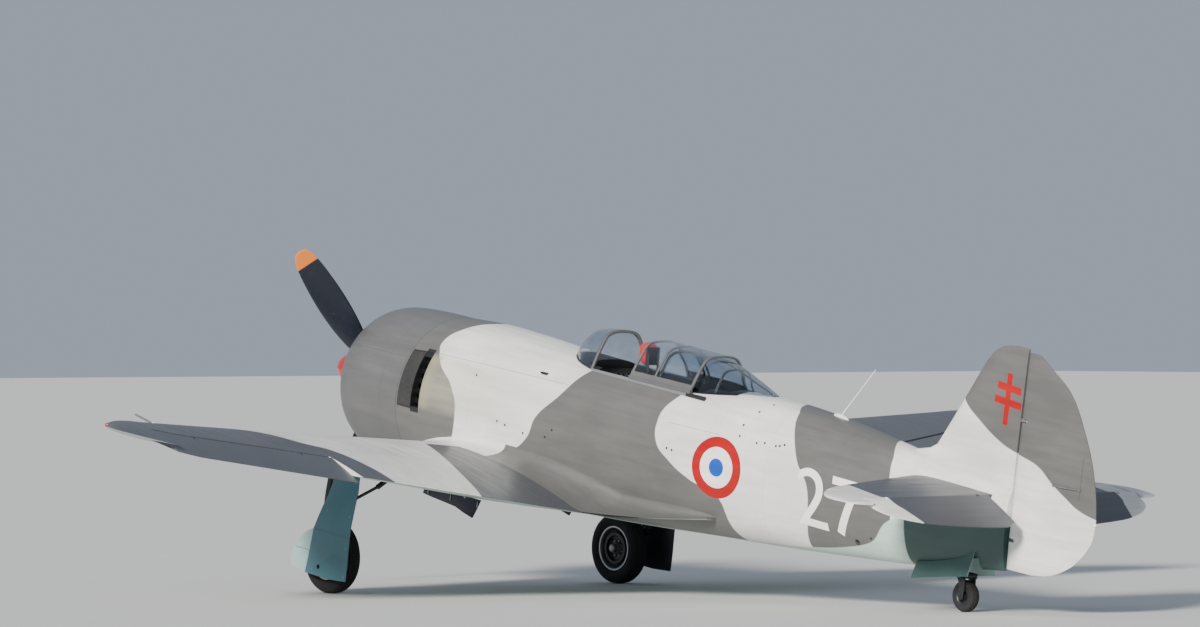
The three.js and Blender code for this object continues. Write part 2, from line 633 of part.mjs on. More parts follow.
// Section of every arch, as shares of its half width and of its height
const ARCH = [[1, 0], [0.93, 0.17], [0.84, 0.37], [0.74, 0.57], [0.64, 0.75], [0.55, 0.87], [0.42, 0.95],
  [0.22, 0.99], [0, 1]];
function archRing(s, half, base, top, inset, skirt) {
  const w = half - inset;
  const h = top - base - inset;
  const left = ARCH.map(([fy, fz]) => [-s, w * fy, base + h * fz]);
  const right = ARCH.slice(0, -1).reverse().map(([fy, fz]) => [-s, -w * fy, base + h * fz]);
  return [[-s, w, base - skirt], ...left, ...right, [-s, -w, base - skirt]];
}
// The inner skin shares the outer skin's stations, so that the wall keeps its thickness
function archShell(table, s0, s1, outer, inner, skirt = 2) {
  const stops = table.map((r) => r[0]);
  const first = stops[0];
  const last = stops[stops.length - 1];
  const ring = (s, inset, down) => {
    const at = Math.min(Math.max(s, first), last);
    let i = 0;
    while (i < stops.length - 2 && stops[i + 1] < at) i += 1;
    const t = (at - stops[i]) / (stops[i + 1] - stops[i]);
    const [half, base, top] = table[i].slice(1).map((v, k) => v + (table[i + 1][k + 1] - v) * t);
    return archRing(s, half, base, top, inset, down);
  };
  const inside = stops.filter((s) => s > s0 + 1 && s < s1 - 1);
  const outside = [s0, ...inside, s1].map((s) => ring(s, outer, skirt));
  const hollow = [s0 - 1, ...inside, s1 + 1].map((s) => ring(s, inner, skirt + 40));
  return loft(outside).subtract(loft(hollow));
}
const centreGrown = fuselage(2600, CENTRE_REAR_S + 60, SEAM);
add('windscreen_glass', archShell(SCREEN, 2930, 3334.7, 0, 6, 120).subtract(centreGrown), 0x9fb4bd, 0.1, 0);
add('windscreen_frame', archShell(SCREEN, 3335, 3360, 0, 22, 120).subtract(centreGrown), DARK, 0.45, 0.2);
const hoodRail = (side) => box(HOOD_FRONT_S, HOOD_REAR_S, Math.min(side * 275, side * 297),
  Math.max(side * 275, side * 297), 522, 544);
const hoodBars = union([
  archShell(HOOD, 3800, 3824, 0, 16),
  archShell(HOOD, 4052, 4070, 0, 16),
  archShell(HOOD, 4463, 4485, 0, 16),
  hoodRail(1),
  hoodRail(-1),
]);
add('hood_frame', hoodBars, DARK, 0.45, 0.2);
const belowRail = box(3700, 4700, -400, 400, 480, 544.3);
const hoodPane = (s0, s1) => archShell(HOOD, s0, s1, 1, 6).subtract(belowRail);
add('hood_glass_front', hoodPane(3824.3, 4051.7), 0x9fb4bd, 0.1, 0);
add('hood_glass_rear', hoodPane(4070.3, 4462.7), 0x9fb4bd, 0.1, 0);
add('rear_frame', union([
  archShell(REARGLASS, 4050, 4072, 0, 18, 120),
  archShell(REARGLASS, 4640, 4656, 6.3, 18, 120),
  archShell(REARGLASS, 4060, 5085, 6.3, 16, 120).intersect(box(4056, 5084, -10, 10, 560, 900)),
]).subtract(centreGrown), DARK, 0.45, 0.2);
add('rear_glass', archShell(REARGLASS, 4072.3, 5105, 0, 6, 120).subtract(centreGrown), 0x9fb4bd, 0.1, 0);

// Cockpit furniture
add('cockpit_floor', box(2935, 4790, -325, 325, -329.7, -300), 0x50544f, 0.7, 0.1);
add('instrument_panel', box(3250.3, 3275, -224.7, 224.7, 130, 500), BLACK, 0.6, 0.1);
add('seat', union([
  box(3430, 3740, -210, 210, -60, -20),
  box(3700, 3740, -210, 210, -60, 420),
  box(3700, 3740, -70, 70, 400, 700),
  box(3450, 3730, -190, -165, -299.7, -40),
  box(3450, 3730, 165, 190, -299.7, -40),
]), 0x3a3b3a, 0.8, 0);
// Headrest rows: s, half width, half height; the section is rounded
const HEADREST = [[3600, 48, 62], [3612, 66, 80], [3650, 76, 91], [3688, 74, 89], [3699.7, 62, 76]];
const headrest = HEADREST.map(([s, wide, tall]) => {
  const ring = [];
  for (let i = 0; i < 16; i += 1) {
    const [c, d] = [Math.cos(Math.PI * i / 8), Math.sin(Math.PI * i / 8)];
    ring.push([-s, wide * Math.sign(c) * Math.pow(Math.abs(c), 0.7), 682 + tall * Math.sign(d) * Math.pow(Math.abs(d), 0.7)]);
  }
  return ring;
});
add('headrest', loft(headrest), RED, 0.7, 0);
add('control_stick', union([
  rod([-3350, 0, -290], [-3370, 0, 120], 14, 12, 12),
  rod([-3368, 0, 100], [-3380, 0, 210], 19, 19, 12),
  box(3310, 3400, -50, 50, -299.7, -270),
]), BLACK, 0.6, 0.1);

// Main gear: leg, brace and doors on each side
const LEG_DOOR = [
  [2100, -452], [2086, -560], [2030, -680], [1965, -790], [1890, -926], [1790, -985], [1715, -1060], [1668, -1160],
  [1672, -1225], [1842, -1264], [2148, -1265], [2350, -1247], [2352, -1100], [2349, -828], [2398, -560], [2398, -452],
];
for (const [name, side] of [['left', 1], ['right', -1]]) {
  const wheel = fromGround(MAIN_WHEEL_X, side * MAIN_WHEEL_Y, MAIN_WHEEL_RADIUS);
  const y = (v) => side * v;
  const span = (a, b) => [Math.min(y(a), y(b)), Math.max(y(a), y(b))];
  const top = [-2222, y(LEG_Y), -340];
  const foot = [wheel[0] - 6, y(LEG_Y), wheel[2] - 12];
  const at = (t) => top.map((v, i) => v + (foot[i] - v) * t);
  add(`leg_${name}`, union([
    rod(top, at(0.67), 36, 36, 14),
    rod(at(0.65), foot, 26, 26, 14),
    rod([-2050.3, y(LEG_Y), -385], [-2289.7, y(LEG_Y), -385], 24, 24, 16),
    rod([wheel[0], y(1572), wheel[2]], [wheel[0], y(1341), wheel[2]], 18, 18, 16),
    rod([wheel[0], y(1572), wheel[2]], [wheel[0], y(1512), wheel[2]], 38, 38, 14),
    box(2060, 2130, ...span(1560, 1599.7), -760, -720),
    box(1960, 2030, ...span(1560, 1599.7), -1020, -980),
    rod([at(0.62)[0], y(LEG_Y), at(0.62)[2]], [at(0.79)[0] - 120, y(LEG_Y), at(0.79)[2]], 12, 10, 10),
    rod([at(0.957)[0], y(LEG_Y), at(0.957)[2]], [at(0.79)[0] - 120, y(LEG_Y), at(0.79)[2]], 12, 10, 10),
    rod([at(0.496)[0], y(1530), at(0.496)[2]], [-2190, y(1250), -560], 13, 15, 12),
    rod([-2190, y(1250), -560], [-2190, y(1130), -482], 20, 22, 12),
    rod([-2050.3, y(1130), -482], [-2289.7, y(1130), -482], 18, 18, 12),
  ]), STEEL, 0.4, 0.7);
  add(`leg_door_${name}`, plateY(LEG_DOOR, ...span(1600, 1611)), TEAL, 0.5, 0);
  const innerDoor = plateY([[1835, -628], [2475, -628], [2462, -650], [2390, -780], [2188, -728], [1785, -695],
      [1792, -665]], ...span(474, 484));
  const door = DOOR_EYES.reduce((a, s) => notched(a, ...doorPin(side, s, 30),
    box(s - 12, s + 12, ...span(450, 508), -646, -614)), innerDoor);
  add(`inner_door_${name}`, door, NAVY, 0.5, 0);
  const place = (along, a, b) => [wheel[0] + a, wheel[1] + along, wheel[2] + b];
  const TYRE = [];
  for (let i = 0; i < 12; i += 1) {
    const t = 2 * Math.PI * i / 12;
    TYRE.push([74 * Math.cos(t), 213 + 62 * Math.sin(t)]);
  }
  add(`tyre_${name}`, turned(TYRE, 32, place, true).subtract(turned([[-80, 165], [80, 165]], 32, place)),
    BLACK, 0.9, 0);
  add(`rim_${name}`, cut(turned([[-52, 164.6], [52, 164.6]], 32, place), [
    turned([[-90, 18.7], [90, 18.7]], 16, place),
    turned([[30, 140], [90, 140]], 20, place),
    turned([[-90, 140], [-30, 140]], 20, place),
  ]), 0x9a9c9e, 0.4, 0.6);
}

// Tail wheel: leg, steering fork, wheel and the two doors
const tail = fromGround(TAIL_WHEEL_X, 0, TAIL_WHEEL_RADIUS);
const alongY = (along, a, b) => [tail[0] + a, along, tail[2] + b];
const stem = [tail[0] + 70, 0, tail[2] + 175];
add('tail_leg', cut(union([
  rod([stem[0], 0, stem[2] + 6], [stem[0], 0, -150.3], 34, 34, 20),
  rod([stem[0], 0, -215], [stem[0] + 260, 0, -172], 20, 20, 14),
  rod([stem[0] + 250, 0, -190], [stem[0] + 250, 0, -150.3], 20, 20, 14),
]), [rod([stem[0], 0, stem[2] - 10], [stem[0], 0, stem[2] + 70], 20.6, 20.6, 20)]), STEEL, 0.4, 0.6);
add('tail_fork', union([
  rod([stem[0], 0, stem[2] - 26], [stem[0], 0, stem[2] + 5.5], 32, 32, 20),
  rod([stem[0], 0, stem[2]], [stem[0], 0, stem[2] + 66], 20, 20, 20),
  box(-stem[0] - 34, -stem[0] + 100, -58, 58, stem[2] - 44, stem[2] - 20),
  plateY([[-stem[0] + 10, stem[2] - 22], [-stem[0] + 110, stem[2] - 22], [-tail[0] + 24, tail[2] - 22],
    [-tail[0] - 24, tail[2] - 22]], 46, 58),
  plateY([[-stem[0] + 10, stem[2] - 22], [-stem[0] + 110, stem[2] - 22], [-tail[0] + 24, tail[2] - 22],
    [-tail[0] - 24, tail[2] - 22]], -58, -46),
  rod([tail[0], -52, tail[2]], [tail[0], 52, tail[2]], 16.4, 16.4, 16),
]), BLACK, 0.5, 0.4);
const TAIL_TYRE = [[-36, 60], [-38, 92], [-24, 110], [0, 112], [24, 110], [38, 92], [36, 60], [30, 17], [-30, 17]];
add('tail_wheel', turned(TAIL_TYRE, 20, alongY, true), BLACK, 0.8, 0);
function undersideZ(s, y) {
  const [, bottom, half, mid, square] = lookUp(FUSELAGE, s);
  return mid - (mid - bottom) * Math.pow(1 - Math.pow(y / half, square), 1 / square);
}
for (const [name, side] of [['left', 1], ['right', -1]]) {
  const edge = [6830, 7000, 7200, 7400].map((s) => [-s, 79, undersideZ(s, 79) + 12]);
  const rim = [...edge, [-7400, 128, -285], [-7100, 136, -345], [-6850, 140, -400]];
  const ring = (out) => rim.map(([x, y, z]) => [x, side * (y + out), z]);
  add(`tail_door_${name}`, loft([ring(0), ring(8)]).subtract(tailGrown), TEAL, 0.5, 0);
}

// Small fittings; the pitot follows the leading edge
const pitotSeat = loft(WING_Y.map((y) => foil(y, 1, wingRow(y).map((v, k) => (k === 0 ? v - SEAM : v)))));
add('pitot', cut(rod([-2520, 3494, -72], [-2090, 3494, -10], 10, 8, 12), [pitotSeat]), 0xb8babc, 0.35, 0.7);
add('antenna', union([
  rod([-5800, 0, 568], [-6110, 0, 960], 9, 4, 10),
  box(5740, 5880, -16, 16, 540, 590),
]).subtract(fuselage(CENTRE_REAR_S, REAR_END_S, SEAM)), 0xe6e6e4, 0.4, 0);

export default group;
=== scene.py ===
# %% [markdown]
# # Dressing a parked light aircraft
# The CAD part gives every solid its place. This lesson builds the looks around it: smooth
# skins, paint, glass, tyres and cushions. The CAD nodes are loaded first. The finished
# model must not outgrow it.

# %% Load the frame
from math import copysign, cos, hypot, pi, radians, sin, sqrt, tau

import bmesh
import bpy
from mathutils import Matrix, Vector


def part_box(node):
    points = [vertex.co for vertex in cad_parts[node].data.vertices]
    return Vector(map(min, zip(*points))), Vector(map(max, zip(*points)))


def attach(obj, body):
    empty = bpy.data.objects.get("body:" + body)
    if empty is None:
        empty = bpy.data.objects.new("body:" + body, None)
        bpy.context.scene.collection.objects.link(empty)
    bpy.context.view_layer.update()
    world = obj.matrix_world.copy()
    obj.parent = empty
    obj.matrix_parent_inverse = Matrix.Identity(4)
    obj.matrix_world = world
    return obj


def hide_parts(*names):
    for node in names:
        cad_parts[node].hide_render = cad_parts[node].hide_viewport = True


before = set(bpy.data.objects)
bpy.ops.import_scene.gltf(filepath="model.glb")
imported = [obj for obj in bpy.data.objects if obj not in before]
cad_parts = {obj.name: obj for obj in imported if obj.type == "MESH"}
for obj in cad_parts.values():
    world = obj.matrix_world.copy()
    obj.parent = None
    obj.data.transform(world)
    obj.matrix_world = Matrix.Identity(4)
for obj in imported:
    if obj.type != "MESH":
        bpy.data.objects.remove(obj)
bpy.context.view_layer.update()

# %% [markdown]
# ## A drawing frame for a tilted aeroplane
# A tail-wheel aircraft parks nose-up, and its drawings are made along the thrust line. `at`
# takes drawing millimetres (s back from the nose, y to the left wing, z up from the thrust
# line) and gives the point in the parked frame, in metres.

# %% From drawing to parked place
PITCH = radians(9)
COS, SIN = cos(PITCH), sin(PITCH)
DATUM = Vector((4.2293, 0.0, 1.7))


def at(s, y, z):
    """A point of the drawing, in millimetres, as a point of the parked frame, in metres."""
    return Vector((DATUM.x - (s * COS + z * SIN) / 1000, y / 1000,
                   DATUM.z + (z * COS - s * SIN) / 1000))


def drawn(x, y, z):
    """The other way: a parked point in metres as (s, y, z) of the drawing, in millimetres."""
    dx, dz = x - DATUM.x, z - DATUM.z
    return (-(dx * COS + dz * SIN) * 1000, y * 1000, (-dx * SIN + dz * COS) * 1000)


print("thrust line starts at", tuple(round(v, 3) for v in at(55, 0, 0)))

# %% [markdown]
# ## Camera and studio
# The photograph was taken with a long lens from behind the left wing, about eye height. A
# 197 mm lens from 50 m gives the same flat perspective. One broad sun-like lamp comes from
# the camera's side, as the daylight did, and a pale sky fills the shadows softly.

# %% Camera
camera_data = bpy.data.cameras.new("camera")
camera_data.sensor_width = 36
camera_data.lens = 197.52
camera_data.clip_start = 1
camera_data.clip_end = 400
camera = bpy.data.objects.new("camera", camera_data)
bpy.context.collection.objects.link(camera)
looking = Vector((0.759749, -0.650218, 0.000768))
camera.location = (-36.3252, 32.0011, 2.06)
camera.rotation_euler = looking.to_track_quat("-Z", "Y").to_euler()
bpy.context.scene.camera = camera
print("camera stands at", tuple(camera.location))

# %% Lights and sky
key = bpy.data.objects.new("key_light", bpy.data.lights.new("key_light", "SUN"))
bpy.context.collection.objects.link(key)
key.data.energy = 6.6
key.data.angle = radians(10)
key.data.color = (1.0, 0.955, 0.89)
key.rotation_euler = Vector((0.36, -0.84, -0.38)).to_track_quat("-Z", "Y").to_euler()
sky = bpy.data.worlds.new("studio_sky")
sky.use_nodes = True
sky.node_tree.nodes["Background"].inputs["Color"].default_value = (0.74, 0.84, 1.0, 1)
sky.node_tree.nodes["Background"].inputs["Strength"].default_value = 0.46
bpy.context.scene.world = sky
print("one key light and a pale sky")

# %% [markdown]
# ## A short way to write node trees
# Each finish is a node tree. `Recipe` keeps the wiring short: `node` adds a node and feeds
# its sockets, `math` and `blend` chain them, and `curve` bends one coordinate by another,
# which is how a painted edge wanders along the hull.

# %% Node helper
class Recipe:
    """One material and short calls that add nodes to it."""

    def __init__(self, name, roughness=0.5, metallic=0.0, **sockets):
        self.material = bpy.data.materials.new(name)
        self.material.use_nodes = True
        self.tree = self.material.node_tree
        self.shader = self.tree.nodes["Principled BSDF"]
        self.shader.inputs["Roughness"].default_value = roughness
        self.shader.inputs["Metallic"].default_value = metallic
        for key, value in sockets.items():
            self.shader.inputs[key.replace("_", " ")].default_value = value

    def feed(self, socket, value):
        if isinstance(value, bpy.types.NodeSocket):
            self.tree.links.new(value, socket)
        else:
            socket.default_value = value

    def node(self, kind, inputs, **settings):
        made = self.tree.nodes.new("ShaderNode" + kind)
        for key, value in settings.items():
            setattr(made, key, value)
        for key, value in inputs.items():
            self.feed(made.inputs[key], value)
        return made

    def math(self, operation, a, b=0.0, c=0.0):
        return self.node("Math", {0: a, 1: b, 2: c}, operation=operation).outputs[0]

    def times(self, first, *others):
        for other in others:
            first = self.math("MULTIPLY", first, other)
        return first

    def most(self, first, *others):
        for other in others:
            first = self.math("MAXIMUM", first, other)
        return first

    def less(self, a, b):
        return self.math("SUBTRACT", a, b)

    def reach(self, a, b):
        """The distance from the origin in the plane of a and b."""
        return self.math("SQRT", self.math("ADD", self.math("POWER", a, 2.0),
                                           self.math("POWER", b, 2.0)))

    def blend(self, amount, first, second):
        return self.node("Mix", {0: amount, 6: first, 7: second}, data_type="RGBA").outputs[2]

    def spread(self, value, low, high, least=0.0, most=1.0):
        """value, which runs from low to high, stretched to run from least to most."""
        return self.node("MapRange", {0: value, 1: low, 2: high, 3: least, 4: most}).outputs[0]

    def past(self, value, line, soft=0.004):
        """A mask: 1 where value is above line, with an edge of twice soft."""
        return self.spread(self.less(value, line), -soft, soft)

    def within(self, value, low, high, soft=0.004):
        return self.times(self.past(value, low, soft), self.past(high, value, soft))

    def curve(self, value, rows):
        """The second column of rows, smoothly, where value is the first."""
        low, high = rows[0][0], rows[-1][0]
        least, most = min(r[1] for r in rows), max(r[1] for r in rows)
        bend = self.node("FloatCurve", {1: self.spread(value, low, high)})
        line = bend.mapping.curves[0]
        spots = [((a - low) / (high - low), (b - least) / (most - least)) for a, b in rows]
        line.points[0].location, line.points[1].location = spots[0], spots[-1]
        for spot in spots[1:-1]:
            line.points.new(*spot)
        bend.mapping.update()
        return self.spread(bend.outputs[0], 0.0, 1.0, least, most)

    def place(self, scale=(1, 1, 1), turn=(0, 0, 0), shift=(0, 0, 0)):
        spot = self.node("TexCoord", {}).outputs["Object"]
        inputs = {"Vector": spot, "Scale": scale, "Rotation": turn, "Location": shift}
        return self.node("Mapping", inputs).outputs[0]

    def body(self):
        """s, y and z of the drawing, in metres, from Object coordinates."""
        shift = (DATUM.x * COS + DATUM.z * SIN, 0, DATUM.x * SIN - DATUM.z * COS)
        self.spot = self.place((-1, 1, 1), (0, -PITCH, 0), shift)
        return self.node("SeparateXYZ", {0: self.spot}).outputs[:3]

    def noise(self, vector, scale, detail=4.0, rough=0.5):
        inputs = {"Vector": vector, "Scale": scale, "Detail": detail, "Roughness": rough}
        return self.node("TexNoise", inputs).outputs["Fac"]

    def stretch(self, vector, x, y, z):
        return self.node("VectorMath", {0: vector, 1: (x, y, z)}, operation="MULTIPLY").outputs[0]

    def dim(self, colour, amount):
        return self.node("VectorMath", {0: colour, 3: amount}, operation="SCALE").outputs[0]

    def upward(self):
        """How far the surface faces the drawing's up, from -1 to 1."""
        normal = self.node("TexCoord", {}).outputs["Normal"]
        return self.node("VectorMath", {0: normal, 1: (-SIN, 0, COS)},
                         operation="DOT_PRODUCT").outputs["Value"]

    def bump(self, height, strength=0.3, distance=0.002):
        node = self.node("Bump", {"Height": height, "Strength": strength, "Distance": distance})
        self.feed(self.shader.inputs["Normal"], node.outputs[0])

    def finish(self, colour=None, roughness=None):
        if colour is not None:
            self.feed(self.shader.inputs["Base Color"], colour)
        if roughness is not None:
            self.feed(self.shader.inputs["Roughness"], roughness)
        return self.material


print("node helper ready")

# %% [markdown]
# ## Shop-floor finishes
# Rubber, steel, black crackle paint and engine castings are all a base colour, a fine noise
# that breaks it up, and a bump at the grain's real size. One helper makes them all, so each
# finish is a line of numbers.

# %% Plain finishes with grain
def grained(name, first, second, scale, roughness, metallic=0.0, bump=0.2, depth=0.0006, **sockets):
    mix = Recipe(name, roughness, metallic, **sockets)
    spot = mix.place()
    grain = mix.noise(spot, scale, 6.0, 0.6)
    cloud = mix.noise(spot, scale * 0.07, 3.0)
    tone = mix.math("MULTIPLY_ADD", grain, 0.6, mix.times(cloud, 0.4))
    colour = mix.blend(mix.spread(tone, 0.3, 0.7), first, second)
    mix.bump(grain, bump, depth)
    return mix.finish(colour, mix.spread(tone, 0.25, 0.75, roughness - 0.1, roughness + 0.12))


steel = grained("leg_steel", (0.30, 0.31, 0.32, 1), (0.42, 0.43, 0.44, 1), 60, 0.38, 0.85)
chrome = grained("piston_chrome", (0.72, 0.73, 0.75, 1), (0.80, 0.81, 0.82, 1), 30, 0.14, 1.0, 0.05)
black = grained("black_enamel", (0.010, 0.011, 0.013, 1), (0.022, 0.023, 0.026, 1), 90, 0.42)
crackle = grained("panel_crackle", (0.012, 0.012, 0.013, 1), (0.03, 0.03, 0.031, 1), 420, 0.65, 0.0,
                  0.5)
castings = grained("engine_castings", (0.085, 0.088, 0.09, 1), (0.20, 0.20, 0.20, 1), 70, 0.55, 0.6,
                   0.4)
bare = grained("bare_alloy", (0.46, 0.47, 0.48, 1), (0.60, 0.61, 0.62, 1), 45, 0.32, 0.9)
rubber = grained("tyre_rubber", (0.007, 0.007, 0.008, 1), (0.020, 0.019, 0.018, 1), 55, 0.85, 0.0, 0.5,
                 0.001)
primer = grained("cockpit_primer", (0.10, 0.12, 0.10, 1), (0.15, 0.17, 0.145, 1), 30, 0.6)
white = grained("white_plastic", (0.74, 0.74, 0.72, 1), (0.82, 0.82, 0.80, 1), 40, 0.35)
navy = grained("inner_door_navy", (0.012, 0.018, 0.034, 1), (0.022, 0.030, 0.050, 1), 25, 0.4)
print("shop-floor finishes:", 10)

# %% [markdown]
# ## Camouflage
# The aircraft wears two greys over pale blue-green. On the real hull the edges between them
# were masked by eye, so each is a smooth line: a curve gives s for every height z, and a step
# with a soft edge of a few millimetres turns it into a mask.

# %% Colours
LIGHT = (0.790, 0.785, 0.760, 1)
DARK = (0.122, 0.121, 0.117, 1)
PALE_TEAL = (0.480, 0.620, 0.560, 1)
DEEP_TEAL = (0.040, 0.090, 0.084, 1)
RED = (0.400, 0.001, 0.002, 1)
WHITE = (0.940, 0.930, 0.900, 1)
BLUE = (0.000, 0.070, 0.460, 1)
# Painted shade: the dark grey of the wings and stabilisers, darker and bluer than DARK, as if in shade.
DARK_GREY_PAINTED_SHADE = (0.064, 0.070, 0.084, 1)
ORANGE = (0.850, 0.230, 0.030, 1)
OLIVE = (0.560, 0.540, 0.400, 1)


def seams(mix, value, places, width=0.0016):
    """Thin lines where value meets one of the places."""
    total = None
    for place in places:
        gap = mix.math("ABSOLUTE", mix.less(value, place))
        line = mix.past(width, gap, 0.0007)
        total = line if total is None else mix.most(total, line)
    return total


def ribs(mix, value, pitch):
    """Faint lines at even steps, pitch of them to the metre, where ribs lie under the skin."""
    return seams(mix, mix.math("FRACT", mix.times(value, pitch)), (0.5,), 0.012)


def rivets(mix, across, along, pitch, row, radius=0.0024):
    """Flush rivet heads in rows: one row for every row metres, a head every pitch metres."""
    def off_centre(value, every):
        return mix.times(mix.less(mix.math("FRACT", mix.math("DIVIDE", value, every)), 0.5), every)

    return mix.past(radius, mix.reach(off_centre(across, row), off_centre(along, pitch)), 0.0008)


def weather(mix, colour, lines, heads, flow=(0.7, 7.0, 7.0)):
    """Tone drift, streaks along the airflow, dark seams, rivet heads and worn gloss."""
    cloud = mix.noise(mix.spot, 1.7, 5.0, 0.55)
    streak = mix.noise(mix.stretch(mix.spot, *flow), 2.2, 6.0, 0.6)
    grime = mix.spread(mix.times(cloud, streak), 0.16, 0.38, 0.84, 1.05)
    worn = mix.blend(mix.times(lines, 0.62), mix.dim(colour, grime), (0.05, 0.05, 0.048, 1))
    worn = mix.blend(mix.times(heads, 0.22), worn, (0.10, 0.10, 0.095, 1))
    fine = mix.noise(mix.spot, 160.0, 3.0, 0.5)
    height = mix.math("MULTIPLY_ADD", fine, 0.05, mix.times(lines, -0.8))
    mix.bump(mix.math("MULTIPLY_ADD", heads, 0.16, height), 0.35, 0.0014)
    return mix.finish(worn, mix.spread(streak, 0.3, 0.7, 0.34, 0.52))


# %% Fuselage paint
def ellipse(mix, a, b, centre, radii):
    """1 at the rim of an ellipse, less inside it."""
    u = mix.math("DIVIDE", mix.less(a, centre[0]), radii[0])
    v = mix.math("DIVIDE", mix.less(b, centre[1]), radii[1])
    return mix.reach(u, v)


def dark_deck_and_painted_shade(mix, s, y, z):
    """Near-black on the hull: the deck under the canopy glass, and painted shade on the cut walls of the
    cockpit, the bay and the slots.
    """
    side = mix.math("ABSOLUTE", y)
    glazed = mix.curve(s, [(2.90, 0.02), (2.95, 0.075), (2.99, 0.125), (3.08, 0.198), (3.16, 0.238),
                           (3.25, 0.263), (3.36, 0.283), (3.42, 0.286), (4.05, 0.286), (4.48, 0.251),
                           (4.62, 0.229), (4.80, 0.185), (4.98, 0.129), (5.09, 0.07)])
    sharp = 0.0005
    deck = mix.times(mix.past(glazed, side), mix.past(z, 0.36), mix.within(s, 2.955, 4.86))
    room = mix.times(mix.past(0.331, side, sharp), mix.within(z, -0.331, 0.331, sharp),
                     mix.within(s, 2.929, 4.801, sharp))
    bay = mix.times(mix.past(0.546, mix.reach(y, z), sharp), mix.within(s, 1.4, 1.801, sharp))
    slots = mix.times(mix.within(s, 1.674, 1.766, sharp), mix.within(z, -0.08, 0.40),
                      mix.past(side, 0.30))
    return mix.most(deck, room, bay, slots)


def enamel(name):
    """The airframe's sprayed paint, with its drawing coordinates."""
    mix = Recipe(name, 0.42, 0.0, Coat_Weight=0.12, Coat_Roughness=0.25)
    return mix, *mix.body()


def band(mix, line, z, front, back):
    """A mask between two painted edges, each a curve of s over z."""
    return mix.times(mix.past(line, mix.curve(z, front)), mix.past(mix.curve(z, back), line))


def with_belly(mix, colour, soft=0.03):
    """Pale blue-green on every face that looks down."""
    return mix.blend(mix.past(-0.6, mix.upward(), soft), colour, PALE_TEAL)


def fuselage_paint_with_painted_shade():
    mix, s, y, z = enamel("fuselage_paint_with_painted_shade")
    line = mix.math("ADD", s, mix.spread(y, 0.15, -0.45, 0.0, 0.34))
    nose = mix.past(mix.curve(z, [
        (-0.60, 1.98), (-0.30, 2.08), (-0.144, 2.163), (0.011, 2.176), (0.153, 2.107), (0.307, 1.900),
        (0.396, 1.805), (0.478, 1.755), (0.558, 1.800), (0.63, 1.95)]), s)
    mid = band(mix, line, z, [
        (-0.62, 2.30), (-0.40, 2.45), (-0.236, 2.734), (-0.057, 2.980), (0.097, 3.043), (0.303, 3.240),
        (0.492, 3.360), (0.62, 3.46)], [
        (-0.50, 5.14), (-0.378, 5.098), (-0.167, 5.033), (-0.073, 4.730), (0.033, 4.491),
        (0.154, 4.339), (0.334, 4.310), (0.470, 4.376), (0.62, 4.52)])
    aft = band(mix, line, z, [
        (-0.45, 5.80), (-0.354, 5.832), (-0.014, 5.891), (0.249, 5.737), (0.445, 5.612),
        (0.583, 5.498)], [
        (-0.34, 6.20), (-0.28, 6.44), (-0.16, 6.60), (-0.025, 6.650), (0.186, 6.613), (0.390, 6.556),
        (0.55, 6.50)])
    colour = mix.blend(mix.most(nose, mid, aft), LIGHT, DARK)
    behind = mix.past(s, 1.762)
    warm = mix.times(mix.within(z, -0.02, 0.37, 0.05), mix.within(s, 1.78, 2.60, 0.30), behind)
    cloud = mix.noise(mix.stretch(mix.spot, 0.8, 3, 5), 1.6, 4.0)
    colour = mix.blend(mix.times(warm, cloud, 0.75), colour, OLIVE)
    soot = mix.times(mix.within(z, -0.03, 0.37, 0.02), mix.within(s, 1.764, 1.86, 0.05), behind, 0.8)
    colour = mix.blend(soot, colour, (0.30, 0.28, 0.19, 1))
    belly = mix.past(mix.curve(s, [
        (1.5, -0.60), (3.0, -0.585), (4.5, -0.500), (5.2, -0.445), (5.8, -0.375), (6.2, -0.30),
        (6.45, -0.22), (6.62, -0.04),
        (6.8, 0.03), (7.64, 0.09)]), z)
    colour = mix.blend(belly, colour, PALE_TEAL)
    panel = mix.times(mix.within(s, 6.772, 7.70), mix.past(0.115, z))
    colour = mix.blend(panel, colour, DEEP_TEAL)
    rim = ellipse(mix, s, z, (4.983, 0.0625), (0.2460, 0.2240))
    for radius, ink in ((1.0, RED), (0.665, WHITE), (0.295, BLUE)):
        colour = mix.blend(mix.past(radius, rim, 0.008), colour, ink)
    # Near-black deck under the glass, and painted shade on the walls inside the cockpit, the bay and the
    # slots.
    colour = mix.blend(dark_deck_and_painted_shade(mix, s, y, z), colour, (0.010, 0.011, 0.012, 1))
    upper = mix.times(seams(mix, z, (0.385,)), mix.within(s, 1.69, 3.27))
    door = mix.times(seams(mix, z, (0.30,)), mix.within(s, 4.42, 4.95))
    rings = seams(mix, s, (1.504, 2.31, 4.93, 5.46, 6.09, 6.772, 7.60), 0.0013)
    lines = mix.most(upper, door, mix.times(rings, 0.5), seams(mix, s, (1.506,), 0.004))
    arc = mix.times(mix.math("ARCTAN2", z, y), 0.48)
    heads = mix.most(rivets(mix, s, arc, 0.045, 0.31), rivets(mix, arc, s, 0.055, 0.27))
    return weather(mix, colour, lines, heads)


# %% Cowl, wing and tail paint
def cowl_paint():
    mix = Recipe("cowl_paint", 0.4, 0.0, Coat_Weight=0.15, Coat_Roughness=0.22)
    s, y, z = mix.body()
    arc = mix.times(mix.math("ARCTAN2", z, y), 0.61)
    lines = mix.most(seams(mix, s, (0.80, 1.30)), seams(mix, arc, (0.32, -0.66, 1.596, -1.60)))
    heads = rivets(mix, s, arc, 0.06, 0.25, 0.004)
    oil = mix.noise(mix.stretch(mix.spot, 0.8, 5.0, 5.0), 1.4, 4.0)
    colour = mix.blend(oil, (0.105, 0.106, 0.109, 1), (0.122, 0.122, 0.123, 1))
    return weather(mix, colour, lines, heads)


